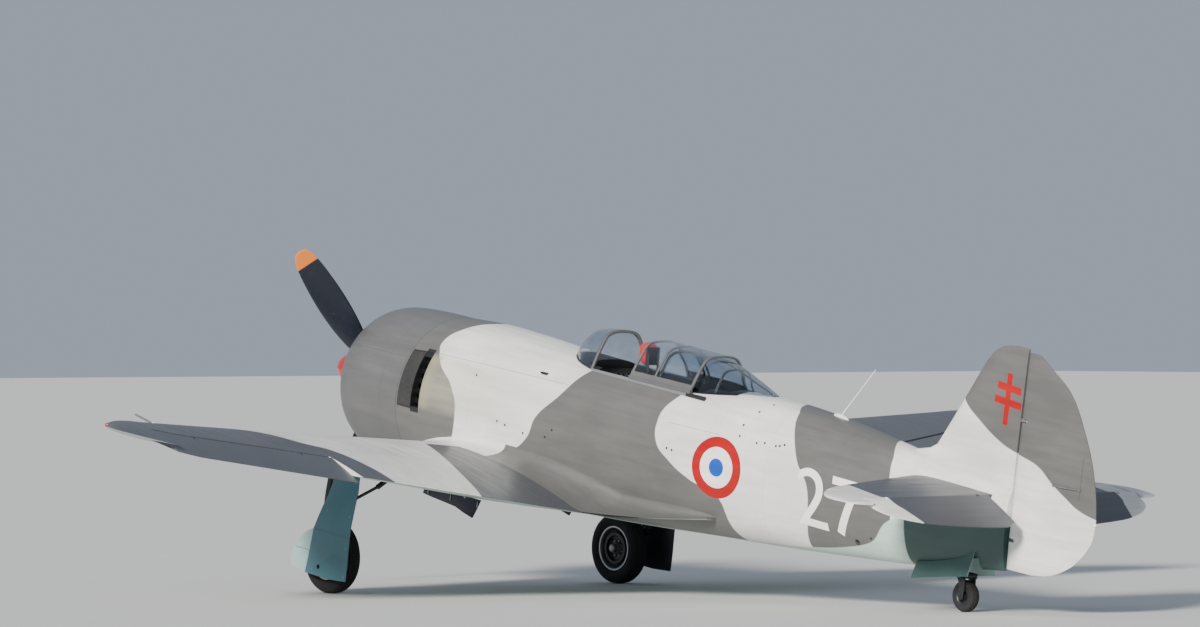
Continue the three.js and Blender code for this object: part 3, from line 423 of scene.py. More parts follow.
def wing_paint_with_painted_shade_and_light():
    mix, s, y, z = enamel("wing_paint_with_painted_shade_and_light")
    span = mix.math("ABSOLUTE", y)
    outer = mix.past(span, mix.curve(s, [
        (2.3, 3.30), (2.5, 3.05), (2.72, 2.83), (3.03, 2.68), (3.16, 2.525), (3.42, 2.443),
        (3.80, 2.41), (4.1, 2.45)]))
    inner = mix.times(mix.past(mix.curve(s, [
        (2.3, 0.95), (2.43, 1.03), (3.296, 1.44), (3.851, 1.652), (4.1, 1.75)]), span),
        mix.past(s, 2.40))
    # Painted shade: the wing's dark camouflage patches take the shade-darkened grey.
    colour = mix.blend(mix.most(outer, inner), LIGHT, DARK_GREY_PAINTED_SHADE)
    colour = with_belly(mix, colour)
    # Painted light: a thin strip on the aileron bay's end wall is light grey, as a sunlit face.
    painted_light_rib = mix.times(mix.within(span, 2.680, 2.697), mix.within(mix.upward(), -0.5, 0.5))
    colour = mix.blend(painted_light_rib, colour, LIGHT)
    lines = mix.most(seams(mix, span, (0.76, 1.32, 2.62, 3.42)), seams(mix, s, (2.42, 3.10)))
    heads = mix.most(rivets(mix, span, s, 0.05, 0.34), rivets(mix, s, span, 0.05, 0.36))
    return weather(mix, colour, lines, heads)


def fin_paint():
    mix, s, y, z = enamel("fin_paint")
    dark = mix.past(z, mix.curve(s, [
        (6.90, 1.10), (7.086, 0.908), (7.25, 0.80), (7.469, 0.68), (7.60, 0.635), (7.705, 0.615),
        (7.86, 0.575), (8.02, 0.475), (8.15, 0.405), (8.30, 0.335), (8.47, 0.30)]))
    colour = mix.blend(dark, LIGHT, DARK)
    tall = mix.math("ADD", z, mix.times(mix.less(s, 7.50), 0.10))
    post = mix.times(mix.within(s, 7.474, 7.522), mix.within(tall, 0.80, 1.165))
    for place, half, thick in ((1.062, 0.112, 0.026), (0.962, 0.128, 0.026)):
        bar = mix.within(s, 7.505 - half, 7.505 + half)
        post = mix.most(post, mix.times(bar, mix.within(tall, place - thick, place + thick)))
    colour = mix.blend(post, colour, RED)
    lines = mix.times(seams(mix, s, (8.285,), 0.003), mix.within(z, 0.40, 0.70))
    lines = mix.most(lines, mix.times(ribs(mix, z, 5.2), mix.past(s, 7.72), 0.22))
    return weather(mix, colour, lines, rivets(mix, z, s, 0.05, 0.31))


def stabiliser_paint_with_painted_shade():
    mix, s, y, z = enamel("stabiliser_paint_with_painted_shade")
    span = mix.math("ABSOLUTE", y)
    tip = mix.past(span, mix.curve(s, [
        (6.7, 1.00), (7.1, 1.07), (7.35, 1.10), (7.57, 1.10), (7.675, 1.063), (7.787, 1.02),
        (7.95, 0.96)]))
    # Painted shade: inboard of its light tip the stabiliser takes the shade-darkened grey.
    colour = mix.blend(tip, DARK_GREY_PAINTED_SHADE, LIGHT)
    colour = with_belly(mix, colour)
    lines = mix.times(ribs(mix, span, 4.6), 0.2)
    return weather(mix, colour, lines, rivets(mix, span, s, 0.05, 0.29), (7.0, 0.7, 7.0))


def one_colour(name, colour, edge, roughness=0.4, **sockets):
    """Sprayed enamel of one colour: drift and chips of the undercoat."""
    mix = Recipe(name, roughness, 0.0, **sockets)
    mix.body()
    chips = mix.past(mix.noise(mix.spot, 38, 7.0, 0.7), 0.71, 0.02)
    drift = mix.noise(mix.spot, 3.0, 5.0)
    tone = mix.blend(mix.spread(drift, 0.35, 0.65), colour,
                     tuple(0.82 * v for v in colour[:3]) + (1,))
    mix.bump(mix.noise(mix.spot, 150, 3.0), 0.15, 0.0006)
    gloss = mix.spread(drift, 0.3, 0.7, roughness - 0.07, roughness + 0.1)
    return mix.finish(mix.blend(chips, tone, edge), gloss)


def blade_paint():
    mix = Recipe("blade_paint", 0.38)
    s, y, z = mix.body()
    wear = mix.noise(mix.spot, 26, 6.0, 0.65)
    colour = mix.blend(mix.past(mix.reach(y, z), 1.175), (0.014, 0.018, 0.030, 1), ORANGE)
    colour = mix.blend(mix.times(mix.past(wear, 0.70, 0.03), 0.5), colour, (0.20, 0.20, 0.21, 1))
    mix.bump(wear, 0.12, 0.0006)
    return mix.finish(colour, mix.spread(wear, 0.3, 0.7, 0.3, 0.5))


def clear_glass():
    mix = Recipe("canopy_glass", 0.04, 0.0, IOR=1.46, Transmission_Weight=1.0)
    smear = mix.noise(mix.stretch(mix.place(), 1.0, 6.0, 1.0), 5.0, 5.0)
    tint = mix.blend(smear, (0.74, 0.81, 0.88, 1), (0.80, 0.86, 0.91, 1))
    mix.bump(smear, 0.04, 0.0006)
    return mix.finish(tint, mix.spread(smear, 0.3, 0.8, 0.02, 0.12))


hull_paint_with_painted_shade, ring_paint, plane_paint_with_painted_shade_and_light = fuselage_paint_with_painted_shade(), cowl_paint(), wing_paint_with_painted_shade_and_light()
tail_paint, level_paint_with_painted_shade, prop_paint = fin_paint(), stabiliser_paint_with_painted_shade(), blade_paint()
red_paint = one_colour("spinner_red", RED, (0.30, 0.012, 0.014, 1), 0.24, Coat_Weight=0.5,
                       Coat_Roughness=0.1)
glass = clear_glass()
print("camouflage, cowl, blade and spinner paints and glass:", 8)

# %% [markdown]
# ## Dressing the CAD nodes
# A node whose shape is already right only needs a finish. Every slot of its object gets the
# procedural material that belongs to it.

# %% Finishes for the CAD nodes
def dress(material, *names):
    for name in names:
        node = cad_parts[name]
        node.data.materials.clear()
        node.data.materials.append(material)


def both(stem):
    return stem + "_left", stem + "_right"


dress(hull_paint_with_painted_shade, "fuselage_forward", "fuselage_centre", "fuselage_rear", "tail_cone")
dress(ring_paint, "cowl", "windscreen_frame", "hood_frame", "rear_frame")
dress(plane_paint_with_painted_shade_and_light, *both("wing"), *both("aileron"), *both("flap"))
dress(tail_paint, "fin", "rudder")
dress(level_paint_with_painted_shade, *both("stabiliser"), *both("elevator"))
dress(prop_paint, "propeller")
dress(red_paint, "spinner", "headrest")
dress(navy, *both("inner_door"))
dress(castings, "engine")
dress(steel, *both("leg"), "tail_leg")
dress(rubber, *both("tyre"), "tail_wheel")
dress(bare, *both("rim"))
dress(steel, "pitot")
dress(black, "tail_fork", "control_stick", "seat")
dress(crackle, "instrument_panel")
dress(primer, "cockpit_floor")
dress(white, "antenna")
dress(glass, "windscreen_glass", "hood_glass_front", "hood_glass_rear", "rear_glass")
print("CAD nodes dressed")

# %% [markdown]
# ## Tools for new pieces
# `piece` turns a bmesh into an object that rides on a body. `skin` rolls a grid of quads into
# a closed tube, which is how a fuselage or a wing is lofted: one direction runs along it, the
# other round its section. `turned` spins a profile, as a lathe would.

# %% Piece and skin helpers
def piece(bm, name, material, body="airframe", replaces=(), sharp=32, heal=True):
    """bm as an object at the origin, smooth up to the sharp angle, riding on body."""
    if heal:
        bmesh.ops.remove_doubles(bm, verts=bm.verts, dist=1e-6)
        bmesh.ops.recalc_face_normals(bm, faces=bm.faces)
    mesh = bpy.data.meshes.new(name)
    bm.to_mesh(mesh)
    bm.free()
    mesh.shade_smooth()
    mesh.set_sharp_from_angle(angle=radians(sharp))
    mesh.materials.append(material)
    made = bpy.data.objects.new(name, mesh)
    bpy.context.collection.objects.link(made)
    if body:
        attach(made, body)
    if replaces:
        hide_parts(*replaces)
    return made


def skin(bm, along, around, place):
    """A closed tube: place(u, k) is the point for u from 0 to 1 and ring position k."""
    sheet = bmesh.ops.create_grid(bm, x_segments=along, y_segments=around, size=0.5)["verts"]
    for vert in sheet:
        vert.co = place(vert.co.x + 0.5, round((vert.co.y + 0.5) * around) % around)
    bmesh.ops.remove_doubles(bm, verts=sheet, dist=1e-6)
    rim = {edge for vert in sheet if vert.is_valid for edge in vert.link_edges if edge.is_boundary}
    bmesh.ops.holes_fill(bm, edges=list(rim), sides=0)


def turned(bm, profile, steps, start, end, closed=False):
    """profile rows (along, radius) in millimetres spun about the line from start to end."""
    axis = (end - start).normalized()
    side = axis.orthogonal().normalized()
    rows = profile + profile[:1] if closed else profile
    points = [start + axis * (a / 1000) + side * (r / 1000) for a, r in rows]
    verts = [bmesh.ops.create_vert(bm, co=point)["vert"][0] for point in points]
    edges = [bm.edges.new(pair) for pair in zip(verts, verts[1:])]
    bmesh.ops.spin(bm, geom=verts + edges, cent=start, axis=axis, angle=tau, steps=steps,
                   use_merge=True)


def bar(low, high, radius):
    """The lathe profile of a plain round bar."""
    return [(low, 0), (low, radius), (high, radius), (high, 0)]


def mirrored(half):
    """A closed lathe profile from the half of it that lies on one side of the middle."""
    return half + [(-a, r) for a, r in reversed(half) if a]


def headings(path):
    """The direction of travel at each point of a path."""
    last = len(path) - 1
    return [(path[min(i + 1, last)] - path[max(i - 1, 0)]).normalized() for i in range(last + 1)]


def rod(bm, path, radius, sides=14):
    """A round bar along a path of points; radius is one size or one for each point."""
    sizes = radius if isinstance(radius, list) else [radius] * len(path)
    frames = []
    side = (path[1] - path[0]).orthogonal().normalized()
    for point, ahead, size in zip(path, headings(path), sizes):
        side = (side - ahead * side.dot(ahead)).normalized()
        frames.append((point, side, ahead.cross(side), size / 1000))

    def place(u, k):
        point, one, two, size = frames[round(u * (len(path) - 1))]
        turn = tau * k / sides
        return point + (one * cos(turn) + two * sin(turn)) * size

    skin(bm, len(path) - 1, sides, place)


def block(bm, low, high, bevel=0.0):
    """A box between two corners of the drawing (s, y, z), with rounded edges."""
    made = bmesh.ops.create_cube(bm, size=1)["verts"]
    for vert in made:
        share = [vert.co[i] + 0.5 for i in range(3)]
        vert.co = at(*(low[i] + (high[i] - low[i]) * share[i] for i in range(3)))
    if bevel:
        edges = list({edge for vert in made for edge in vert.link_edges})
        bmesh.ops.bevel(bm, geom=edges, offset=bevel / 1000, affect="EDGES", segments=3, profile=0.5,
                        material=-1)


def side_block(bm, side, low, high, bevel=0.0):
    """A block that is given for the left side, or its mirror image on the right."""
    y0, y1 = sorted((side * low[1], side * high[1]))
    block(bm, (low[0], y0, low[2]), (high[0], y1, high[2]), bevel)


def tool(build):
    """A throwaway solid for a Boolean cut."""
    bm = bmesh.new()
    build(bm)
    return piece(bm, "cutter", black, None)


def settle(made):
    """Applies the modifiers to the mesh."""
    shape = bpy.data.meshes.new_from_object(made.evaluated_get(bpy.context.evaluated_depsgraph_get()))
    made.modifiers.clear()
    old, made.data = made.data, shape
    shape.name = old.name
    bpy.data.meshes.remove(old)


def carve(made, *tools, operation="DIFFERENCE"):
    """Cuts the tools out of a piece, applies the cut and throws the tools away."""
    for cutter in tools:
        step = made.modifiers.new("cut", "BOOLEAN")
        step.object = cutter
        step.operation = operation
        step.solver = "EXACT"
    settle(made)
    for cutter in tools:
        bpy.data.objects.remove(cutter)
    made.data.shade_smooth()
    made.data.set_sharp_from_angle(angle=radians(32))
    return made


print("modelling helpers ready")

# %% [markdown]
# ## Fuselage skins
# The hull was formed over frames. Each row of the table is one frame, and a cubic curve runs
# through the rows, so the skin has no corners where the rows meet. The four skins keep the
# joints of the CAD sections, and the bay, slots, cockpit and wheel bay are cut as in the CAD.

# %% Hull sections
HULL = [
    [1500, 611, -611, 611, 0, 2.0], [1900, 626, -620, 590, 0, 2.1], [2400, 612, -622, 560, 0, 2.2],
    [2900, 583, -612, 530, 5, 2.35], [3400, 570, -592, 500, 10, 2.5], [4100, 575, -548, 465, 20, 2.5],
    [4700, 588, -500, 430, 35, 2.45], [5150, 596, -470, 398, 50, 2.35],
    [5700, 574, -430, 345, 70, 2.25], [6200, 528, -385, 285, 90, 2.15],
    [6700, 470, -338, 215, 110, 2.1], [7200, 415, -270, 140, 130, 2.0],
    [7640, 372, -208, 58, 140, 2.0],
]


def look_up(table, s):
    """A row of the table at s, on a cubic through its rows."""
    s = min(max(s, table[0][0]), table[-1][0])
    i = max(k for k in range(len(table) - 1) if table[k][0] <= s)
    before, here, there, after = (table[k] for k in (max(i - 1, 0), i, i + 1,
                                                     min(i + 2, len(table) - 1)))
    width = there[0] - here[0]
    t = (s - here[0]) / width
    row = []
    for k in range(1, len(here)):
        rise = width * (there[k] - before[k]) / (there[0] - before[0])
        fall = width * (after[k] - here[k]) / (after[0] - here[0])
        row.append((2 * t ** 3 - 3 * t ** 2 + 1) * here[k] + (t ** 3 - 2 * t ** 2 + t) * rise
                   + (3 * t ** 2 - 2 * t ** 3) * there[k] + (t ** 3 - t ** 2) * fall)
    return row


def power(value, share):
    return copysign(abs(value) ** share, value)


def hull(s, turn, grow=0.0):
    """The hull's skin at s, turn radians round from the left side towards the top."""
    top, bottom, half, mid, square = look_up(HULL, s)
    y = (half + grow) * power(cos(turn), 2 / square)
    tall = (top - mid if sin(turn) > 0 else mid - bottom) + grow
    return at(s, y, mid + tall * power(sin(turn), 2 / square))


def hull_solid(bm, s0, s1, grow, along):
    skin(bm, along, 96, lambda u, k: hull(s0 + (s1 - s0) * u, tau * k / 96, grow))


def hull_tool(s0, s1):
    """A length of the hull, to cut back what stands against it."""
    return tool(lambda bm: hull_solid(bm, s0, s1, 0.3, 30))


def hull_piece(name, s0, s1, along, *tools):
    bm = bmesh.new()
    hull_solid(bm, s0, s1, 0.0, along)
    made = piece(bm, name + "_skin", hull_paint_with_painted_shade, replaces=(name,))
    return carve(made, *tools) if tools else made


# %% Forward and centre skins
def slot_tool(side):
    def build(bm):
        def place(u, k):
            turn = radians(56 + 38 * (k if k < 12 else 23 - k) / 11)
            reach = 700 if k < 12 else 480
            return at(1675 + 90 * u, side * reach * sin(turn), reach * cos(turn))
        skin(bm, 1, 24, place)
    return tool(build)


bay = tool(lambda bm: turned(bm, bar(0, 400, 545), 64, at(1400, 0, 0), at(1800, 0, 0)))
forward = hull_piece("fuselage_forward", 1500, 2900, 28, bay, slot_tool(1), slot_tool(-1))
COCKPIT = [
    ((2930, -330, -330), (4800, 330, 330)), ((3250, -225, 300), (3420, 225, 800)), ((3415, -272, 300),
    (4050, 272, 800)), ((4045, -235, 300), (4560, 235, 800)), ((4555, -150, 300), (4760, 150, 800)),
]
cuts = [tool(lambda bm, low=low, high=high: block(bm, low, high)) for low, high in COCKPIT]
centre = hull_piece("fuselage_centre", 2900.3, 5150, 44, *cuts)
lifting = tool(lambda bm: rod(bm, [at(6320, -400, -245), at(6320, 400, -245)], 22, 32))
rear = hull_piece("fuselage_rear", 5150.3, 6700, 32, lifting)
wheel_bay = tool(lambda bm: block(bm, (6820, -75, -420), (7420, 75, -150)))
cone = hull_piece("tail_cone", 6700.3, 7640, 20, wheel_bay)
print("hull skins:", [len(o.data.polygons) for o in (forward, centre, rear, cone)])

# %% Hood runners
runners = bmesh.new()
ends = bmesh.new()
for side in (-1, 1):
    side_block(runners, side, (3365, 279, 470), (4440, 291, 521.7), 1.5)
    side_block(ends, side, (4440.3, 279, 470), (4650, 291, 521.7), 1.5)
piece(runners, "hood_runners", bare)
piece(ends, "hood_runner_ends", black)
print("hood runners laid along the sill")

# %% [markdown]
# ## Cowl, spinner and propeller
# The cowl ring and spinner are spun metal, so they are lathe shapes. A blade is a thin oval
# section that widens and untwists towards the tip.

# %% Cowl and spinner
def smooth_line(points, steps):
    """A curve through the points, with some steps between each pair."""
    line = []
    for i in range(len(points) - 1):
        a, b, c, d = (points[min(max(k, 0), len(points) - 1)] for k in (i - 1, i, i + 1, i + 2))
        for step in range(steps):
            t = step / steps
            line.append(tuple(0.5 * (2 * q + (r - p) * t + (2 * p - 5 * q + 4 * r - v) * t * t
                                     + (3 * q - p - 3 * r + v) * t ** 3) for p, q, r,
                                     v in zip(a, b, c, d)))
    return line + [tuple(points[-1])]


THRUST_LINE = at(0, 0, 0), at(1000, 0, 0)
outer = smooth_line([(660, 445), (672, 480), (705, 520), (760, 555), (850, 585), (980, 602),
                     (1200, 610), (1499.7, 611)], 4)
inner = smooth_line([(1499.7, 590), (1200, 586), (980, 578), (850, 556), (760, 520), (700, 478),
                     (668, 436)], 3)
bm = bmesh.new()
turned(bm, outer + inner, 112, *THRUST_LINE, closed=True)
piece(bm, "cowl_skin", ring_paint, replaces=("cowl",))
nose = smooth_line([(53, 0), (55, 8), (62, 36), (82, 66), (125, 98), (190, 124), (290, 143),
                    (401, 152)], 4)
bm = bmesh.new()
turned(bm, nose + [(401.7, 148), (401.7, 0)], 80, *THRUST_LINE)
piece(bm, "spinner_shell", red_paint, "propeller", ("spinner",))
print("cowl and spinner spun")

# %% Propeller
PROPELLER_S = 505
BLADE = [
    [120, 90, 84, 60], [230, 110, 76, 55], [340, 170, 52, 48], [520, 215, 38, 40], [760, 232, 28, 32],
    [1000, 214, 20, 26], [1180, 178, 14, 23], [1265, 132, 10, 21], [1300, 80, 8, 20],
    [1310, 22, 5, 20],
]


def blade(bm, index):
    turn = radians(42.5 - 120 * index)

    def place(u, k):
        r = 120 + 1190 * (1 - (1 - u) ** 1.6)
        chord, thick, twist = look_up(BLADE, r)
        angle, lean = tau * k / 28, radians(twist)
        a, b = chord / 2 * cos(angle), thick / 2 * sin(angle)
        along, side = -(a * sin(lean) + b * cos(lean)), a * cos(lean) - b * sin(lean)
        y = r * sin(turn) + side * cos(turn)
        return at(PROPELLER_S + along, y, r * cos(turn) - side * sin(turn))

    skin(bm, 40, 28, place)


bm = bmesh.new()
for index in range(3):
    blade(bm, index)
turned(bm, [(402, 0), (402, 152), (440, 153), (580, 150), (600, 134), (607, 110), (608, 52), (740, 52),
            (740, 0)],
       64, *THRUST_LINE)
piece(bm, "propeller_blades", prop_paint, "propeller", ("propeller",), sharp=40)
print("three blades and the hub")

# %% [markdown]
# ## Wings
# A wing skin is a grid too: u runs out along the span, k runs round the aerofoil. The same
# formula gives both halves, and the wells, the flap recess and the aileron bay are cut out.

# %% Aerofoil
WING = [
    [300, 1500, 4080, -476, 0.150], [600, 1560, 4020, -464, 0.150], [1300, 1770, 3934, -371, 0.145],
    [2000, 1980, 3847, -277, 0.138], [2700, 2190, 3761, -184, 0.130], [3400, 2400, 3674, -90, 0.122],
    [4000, 2580, 3600, -10, 0.115],
]
CHORD_STEPS = 26


def wing_row(y):
    """Leading edge, trailing edge, height and thickness ratio of the wing at y."""
    if y <= 4000:
        i = max(k for k in range(len(WING) - 1) if WING[k][0] <= y or k == 0)
        t = (y - WING[i][0]) / (WING[i + 1][0] - WING[i][0])
        return [a + (b - a) * t for a, b in zip(WING[i][1:], WING[i + 1][1:])]
    w = max(0.0, 1 - ((y - 4000) / 602) ** 1.35) ** (1 / 1.35)
    return [3400 - 820 * w, 3400 + 200 * w, -10 + 0.2 * (y - 4000), 0.115 - 0.02 * (1 - w)]


def half_thickness(ratio, chord, x):
    """Half the thickness of the aerofoil at the share x of its chord."""
    return 5 * ratio * chord * (0.2969 * sqrt(x) - 0.126 * x - 0.3516 * x ** 2 + 0.2843 * x ** 3
                                - 0.1036 * x ** 4)


def mean_line(zc, chord, x):
    return zc + 0.08 * chord * x * (1 - x)


def foil(y, side, k, lift=0.0):
    """Point k round the aerofoil: over the top from the nose, then back under it."""
    le, te, zc, ratio = wing_row(y)
    upper = k <= CHORD_STEPS
    x = 0.5 - 0.5 * cos(pi * (k if upper else 2 * CHORD_STEPS + 1 - k) / CHORD_STEPS)
    chord = te - le
    half = half_thickness(ratio, chord, x) + 2 * min(1, 12 * x)
    return at(le + chord * x, side * y, mean_line(zc + lift, chord, x) + (half if upper else -half))


def span(u):
    """Stations close up towards the rounded tip."""
    return 300 + 3700 * u / 0.66 if u < 0.66 else 4000 + 600 * sin((u - 0.66) / 0.34 * pi / 2)


def wing_solid(bm, side, lift=0.0):
    skin(bm, 60, 2 * CHORD_STEPS + 1, lambda u, k: foil(span(u), side, k, lift))


def prism(bm, side, corners, z0, z1):
    """A plan outline of (s, y) corners between two heights."""
    skin(bm, 1, len(corners), lambda u, k: at(corners[k][0], side * corners[k][1], z0 + (z1 - z0) * u))


# %% Wing halves with their openings
AILERON_IN, AILERON_OUT, FLAP_IN, FLAP_OUT = 2690, 4200, 760, 2600


def aileron_axis(y):
    return wing_row(min(y, 4000))[1] - 340


def aileron_plan(bm, side, y0, y1, ahead):
    corners = [(aileron_axis(y0) - ahead, y0), (aileron_axis(y1) - ahead, y1), (4600, y1), (4600, y0)]
    prism(bm, side, corners, -600, 400)


def flap_plan(bm, side, grow):
    y0, y1 = FLAP_IN - grow, FLAP_OUT + grow
    corners = [(wing_row(y0)[1] - 470 - 2.5 * grow, y0), (wing_row(y1)[1] - 400 - 2.5 * grow, y1),
               (wing_row(y1)[1] - 190 + grow, y1), (wing_row(y0)[1] - 210 + grow, y0)]
    prism(bm, side, corners, -900, 400)


def flap_recess(side):
    """The thin slice under the skin that the split flap fills."""
    lowered = tool(lambda bm: wing_solid(bm, side, -10))
    raised = tool(lambda bm: wing_solid(bm, side, 24))
    outline = tool(lambda bm: flap_plan(bm, side, 8))
    carve(lowered, raised)
    return carve(lowered, outline, operation="INTERSECT")


def wing(name, side):
    bm = bmesh.new()
    wing_solid(bm, side)
    made = piece(bm, name + "_skin", plane_paint_with_painted_shade_and_light, replaces=(name,))
    inner_hull = hull_tool(1502, 4400)
    well = tool(lambda bm: rod(bm, [at(2130, side * 800, -900), at(2130, side * 800, -400)], 305, 48))
    leg_well = tool(lambda bm: side_block(bm, side, (2050, 700, -900), (2290, 1600, -300)))
    bay = tool(lambda bm: aileron_plan(bm, side, AILERON_IN, AILERON_OUT, 50))
    return carve(made, inner_hull, well, leg_well, flap_recess(side), bay)


wings = [wing("wing_left", 1), wing("wing_right", -1)]
print("wing skins:", [len(o.data.polygons) for o in wings])

# %% [markdown]
# ## Tail surfaces
# Fin, rudder, stabilisers and elevators share one idea: a flat section whose thickness
# follows a table, lofted from root to tip. The moving ones have a round nose that turns in
# the gap of the fixed one, and notches where the hinge brackets reach in.

# %% Slab sections
SLAB = [[0.0, 0.0], [0.004, 0.22], [0.015, 0.42], [0.04, 0.64], [0.14, 0.92], [0.3, 1.0], [0.6, 0.8],
        [0.85, 0.55], [1.0, 0.42]]
SLAB_STEPS = 22


def section(k):
    """Share of the chord, and which side, for point k round a section."""
    upper = k <= SLAB_STEPS
    step = k if upper else 2 * SLAB_STEPS + 1 - k
    return 0.5 - 0.5 * cos(pi * step / SLAB_STEPS), 1 if upper else -1


def fixed_point(le, te, half, k):
    x, sign = section(k)
    return le + (te - le) * x, sign * half * look_up(SLAB, x)[0]


def moving_point(axis, te, half, k, nose):
    x, sign = section(k)
    s = axis - nose + (te - axis + nose) * x
    if s < axis:
        return s, sign * half * sqrt(max(0.0, 1 - ((axis - s) / nose) ** 2))
    t = (s - axis) / (te - axis)
    return s, sign * (half * (1 - 0.6 * t - 0.4 * t * t) + 3 * t)


def rows_skin(bm, table, along, place):
    """place(row, position, k) over a table that is looked up from its first to its last row."""
    first, last = table[0][0], table[-1][0]

    def spot(u, k):
        position = first + (last - first) * (0.5 - 0.5 * cos(pi * u))
        return place(look_up(table, position), position, k)

    skin(bm, along, 2 * SLAB_STEPS + 1, spot)


# %% Fin and rudder
RUDDER_AXIS, ELEVATOR_AXIS, LEVEL_Z, TAIL_END = 7690, 7530, 290, 7640
RUDDER_HINGES, ELEVATOR_HINGES = (20, 860), (260, 1120)
FIN = [[250, 6500, 52], [430, 6500, 50], [470, 6570, 49], [496, 6690, 48], [530, 6800, 48],
       [580, 6846, 47], [900, 7045, 40], [1180, 7215, 32], [1290, 7300, 26], [1345, 7400, 18],
       [1360, 7500, 8]]
RUDDER = [[-190, 7900, 10], [-165, 8060, 18], [-90, 8230, 26], [0, 8345, 32], [140, 8445, 34],
          [345, 8455, 34], [640, 8380, 32], [900, 8250, 28], [1125, 8085, 22], [1270, 7860, 16],
          [1335, 7750, 10]]


def hinge_arm(bm, low, high, start, end, radius):
    block(bm, low, high, 1.5)
    rod(bm, [at(*start), at(*end)], radius, 20)


bm = bmesh.new()
rows_skin(bm, FIN, 40, lambda row, z, k: at(*fixed_point(row[0], TAIL_END, row[1], k), z))
carve(piece(bm, "fin_skin", tail_paint, replaces=("fin",)), hull_tool(6400, 7660))
bm = bmesh.new()
rows_skin(bm, RUDDER, 44, lambda row, z, k: at(*moving_point(RUDDER_AXIS, *row, k, 42), z))
rudder = piece(bm, "rudder_skin", tail_paint, "rudder", ("rudder",))
notches = [tool(lambda bm, z=z: block(bm, (7640, -50, z - 13),
                                      (7718, 50, z + 13))) for z in RUDDER_HINGES]
carve(rudder, *notches)
bm = bmesh.new()
for z in RUDDER_HINGES:
    hinge_arm(bm, (7610, -11, z - 9), (RUDDER_AXIS, 11, z + 9), (RUDDER_AXIS, 0, z - 9),
              (RUDDER_AXIS, 0, z + 9), 13)
piece(bm, "rudder_brackets", steel)
bm = bmesh.new()
for z in RUDDER_HINGES:
    rod(bm, [at(RUDDER_AXIS, 0, z - 30), at(RUDDER_AXIS, 0, z + 30)], 7, 16)
piece(bm, "rudder_pins", steel, "rudder")
print("fin and rudder lofted")

# %% Stabilisers and elevators
LEVEL = [[20, 6690, 7490, 46], [200, 6745, 7490, 44], [800, 6930, 7490, 36], [1180, 7060, 7490, 29],
         [1306, 7128, 7490, 26]]
LEVEL_TIP = [[1306.2, 7128, 7615, 26], [1420, 7230, 7595, 19], [1480, 7320, 7555, 12],
             [1500, 7400, 7500, 4]]
ELEVATOR = [[165, 7860, 30], [300, 7925, 29], [900, 7865, 25], [1150, 7780, 22], [1265, 7700, 20],
            [1298, 7650, 17]]
DROOP = radians(20)


def drooped(s, y, z):
    """An elevator point, z above its chord, turned down about the hinge."""
    ds = s - ELEVATOR_AXIS
    return at(ELEVATOR_AXIS + ds * cos(DROOP) + z * sin(DROOP), y,
              LEVEL_Z + z * cos(DROOP) - ds * sin(DROOP))


def level_place(side):
    def place(row, y, k):
        s, h = fixed_point(*row, k)
        return at(s, side * y, LEVEL_Z + h)
    return place


def stabiliser(name, body, side):
    bm = bmesh.new()
    rows_skin(bm, LEVEL, 30, level_place(side))
    for y in ELEVATOR_HINGES:
        inner, outer = side * y - 9, side * y + 9
        hinge_arm(bm, (7470, inner, LEVEL_Z - 10), (ELEVATOR_AXIS, outer, LEVEL_Z + 10),
                  (ELEVATOR_AXIS, inner, LEVEL_Z), (ELEVATOR_AXIS, outer, LEVEL_Z), 12)
    made = piece(bm, name + "_skin", level_paint_with_painted_shade, replaces=(name,))
    carve(made, hull_tool(6500, 7660))
    bm = bmesh.new()
    rows_skin(bm, LEVEL_TIP, 16, level_place(side))
    piece(bm, name + "_tip", level_paint_with_painted_shade)
    bm = bmesh.new()

    def droop_place(row, y, k):
        s, h = moving_point(ELEVATOR_AXIS, *row, k, 32)
        return drooped(s, side * y, h)

    rows_skin(bm, ELEVATOR, 30, droop_place)
    flap = piece(bm, body + "_skin", level_paint_with_painted_shade, body, (body,))
    carve(flap, *[tool(lambda bm, y=y: block(bm, (7470, side * y - 13, 230),
                                             (7556, side * y + 13, 350)))
                  for y in ELEVATOR_HINGES])
    bm = bmesh.new()
    for y in ELEVATOR_HINGES:
        rod(bm, [at(ELEVATOR_AXIS, side * (y + out), LEVEL_Z) for out in (-30, 30)], 7, 16)
    piece(bm, body + "_pins", bare, body)


stabiliser("stabiliser_left", "elevator_left", 1)
stabiliser("stabiliser_right", "elevator_right", -1)
print("stabilisers and elevators lofted")

# %% [markdown]
# ## Ailerons and hinge fittings
# An aileron is a slice of the same wing loft, cut by its plan outline. In the photograph the
# stick leans right, so the left aileron hangs 8 degrees down and the right one stands as far up.

# %% Ailerons
HINGE_Y = (2698, 3990)
AILERON_HINGES = (2960, 3860)


def hinge_line(y, side):
    """The aileron hinge at y: halfway up the aerofoil on its axis."""
    ends = []
    for station in HINGE_Y:
        le, te, zc, _ = wing_row(station)
        x = (aileron_axis(station) - le) / (te - le)
        ends.append((aileron_axis(station), side * station, mean_line(zc, te - le, x)))
    t = (y - HINGE_Y[0]) / (HINGE_Y[1] - HINGE_Y[0])
    return tuple(a + (b - a) * t for a, b in zip(*ends))


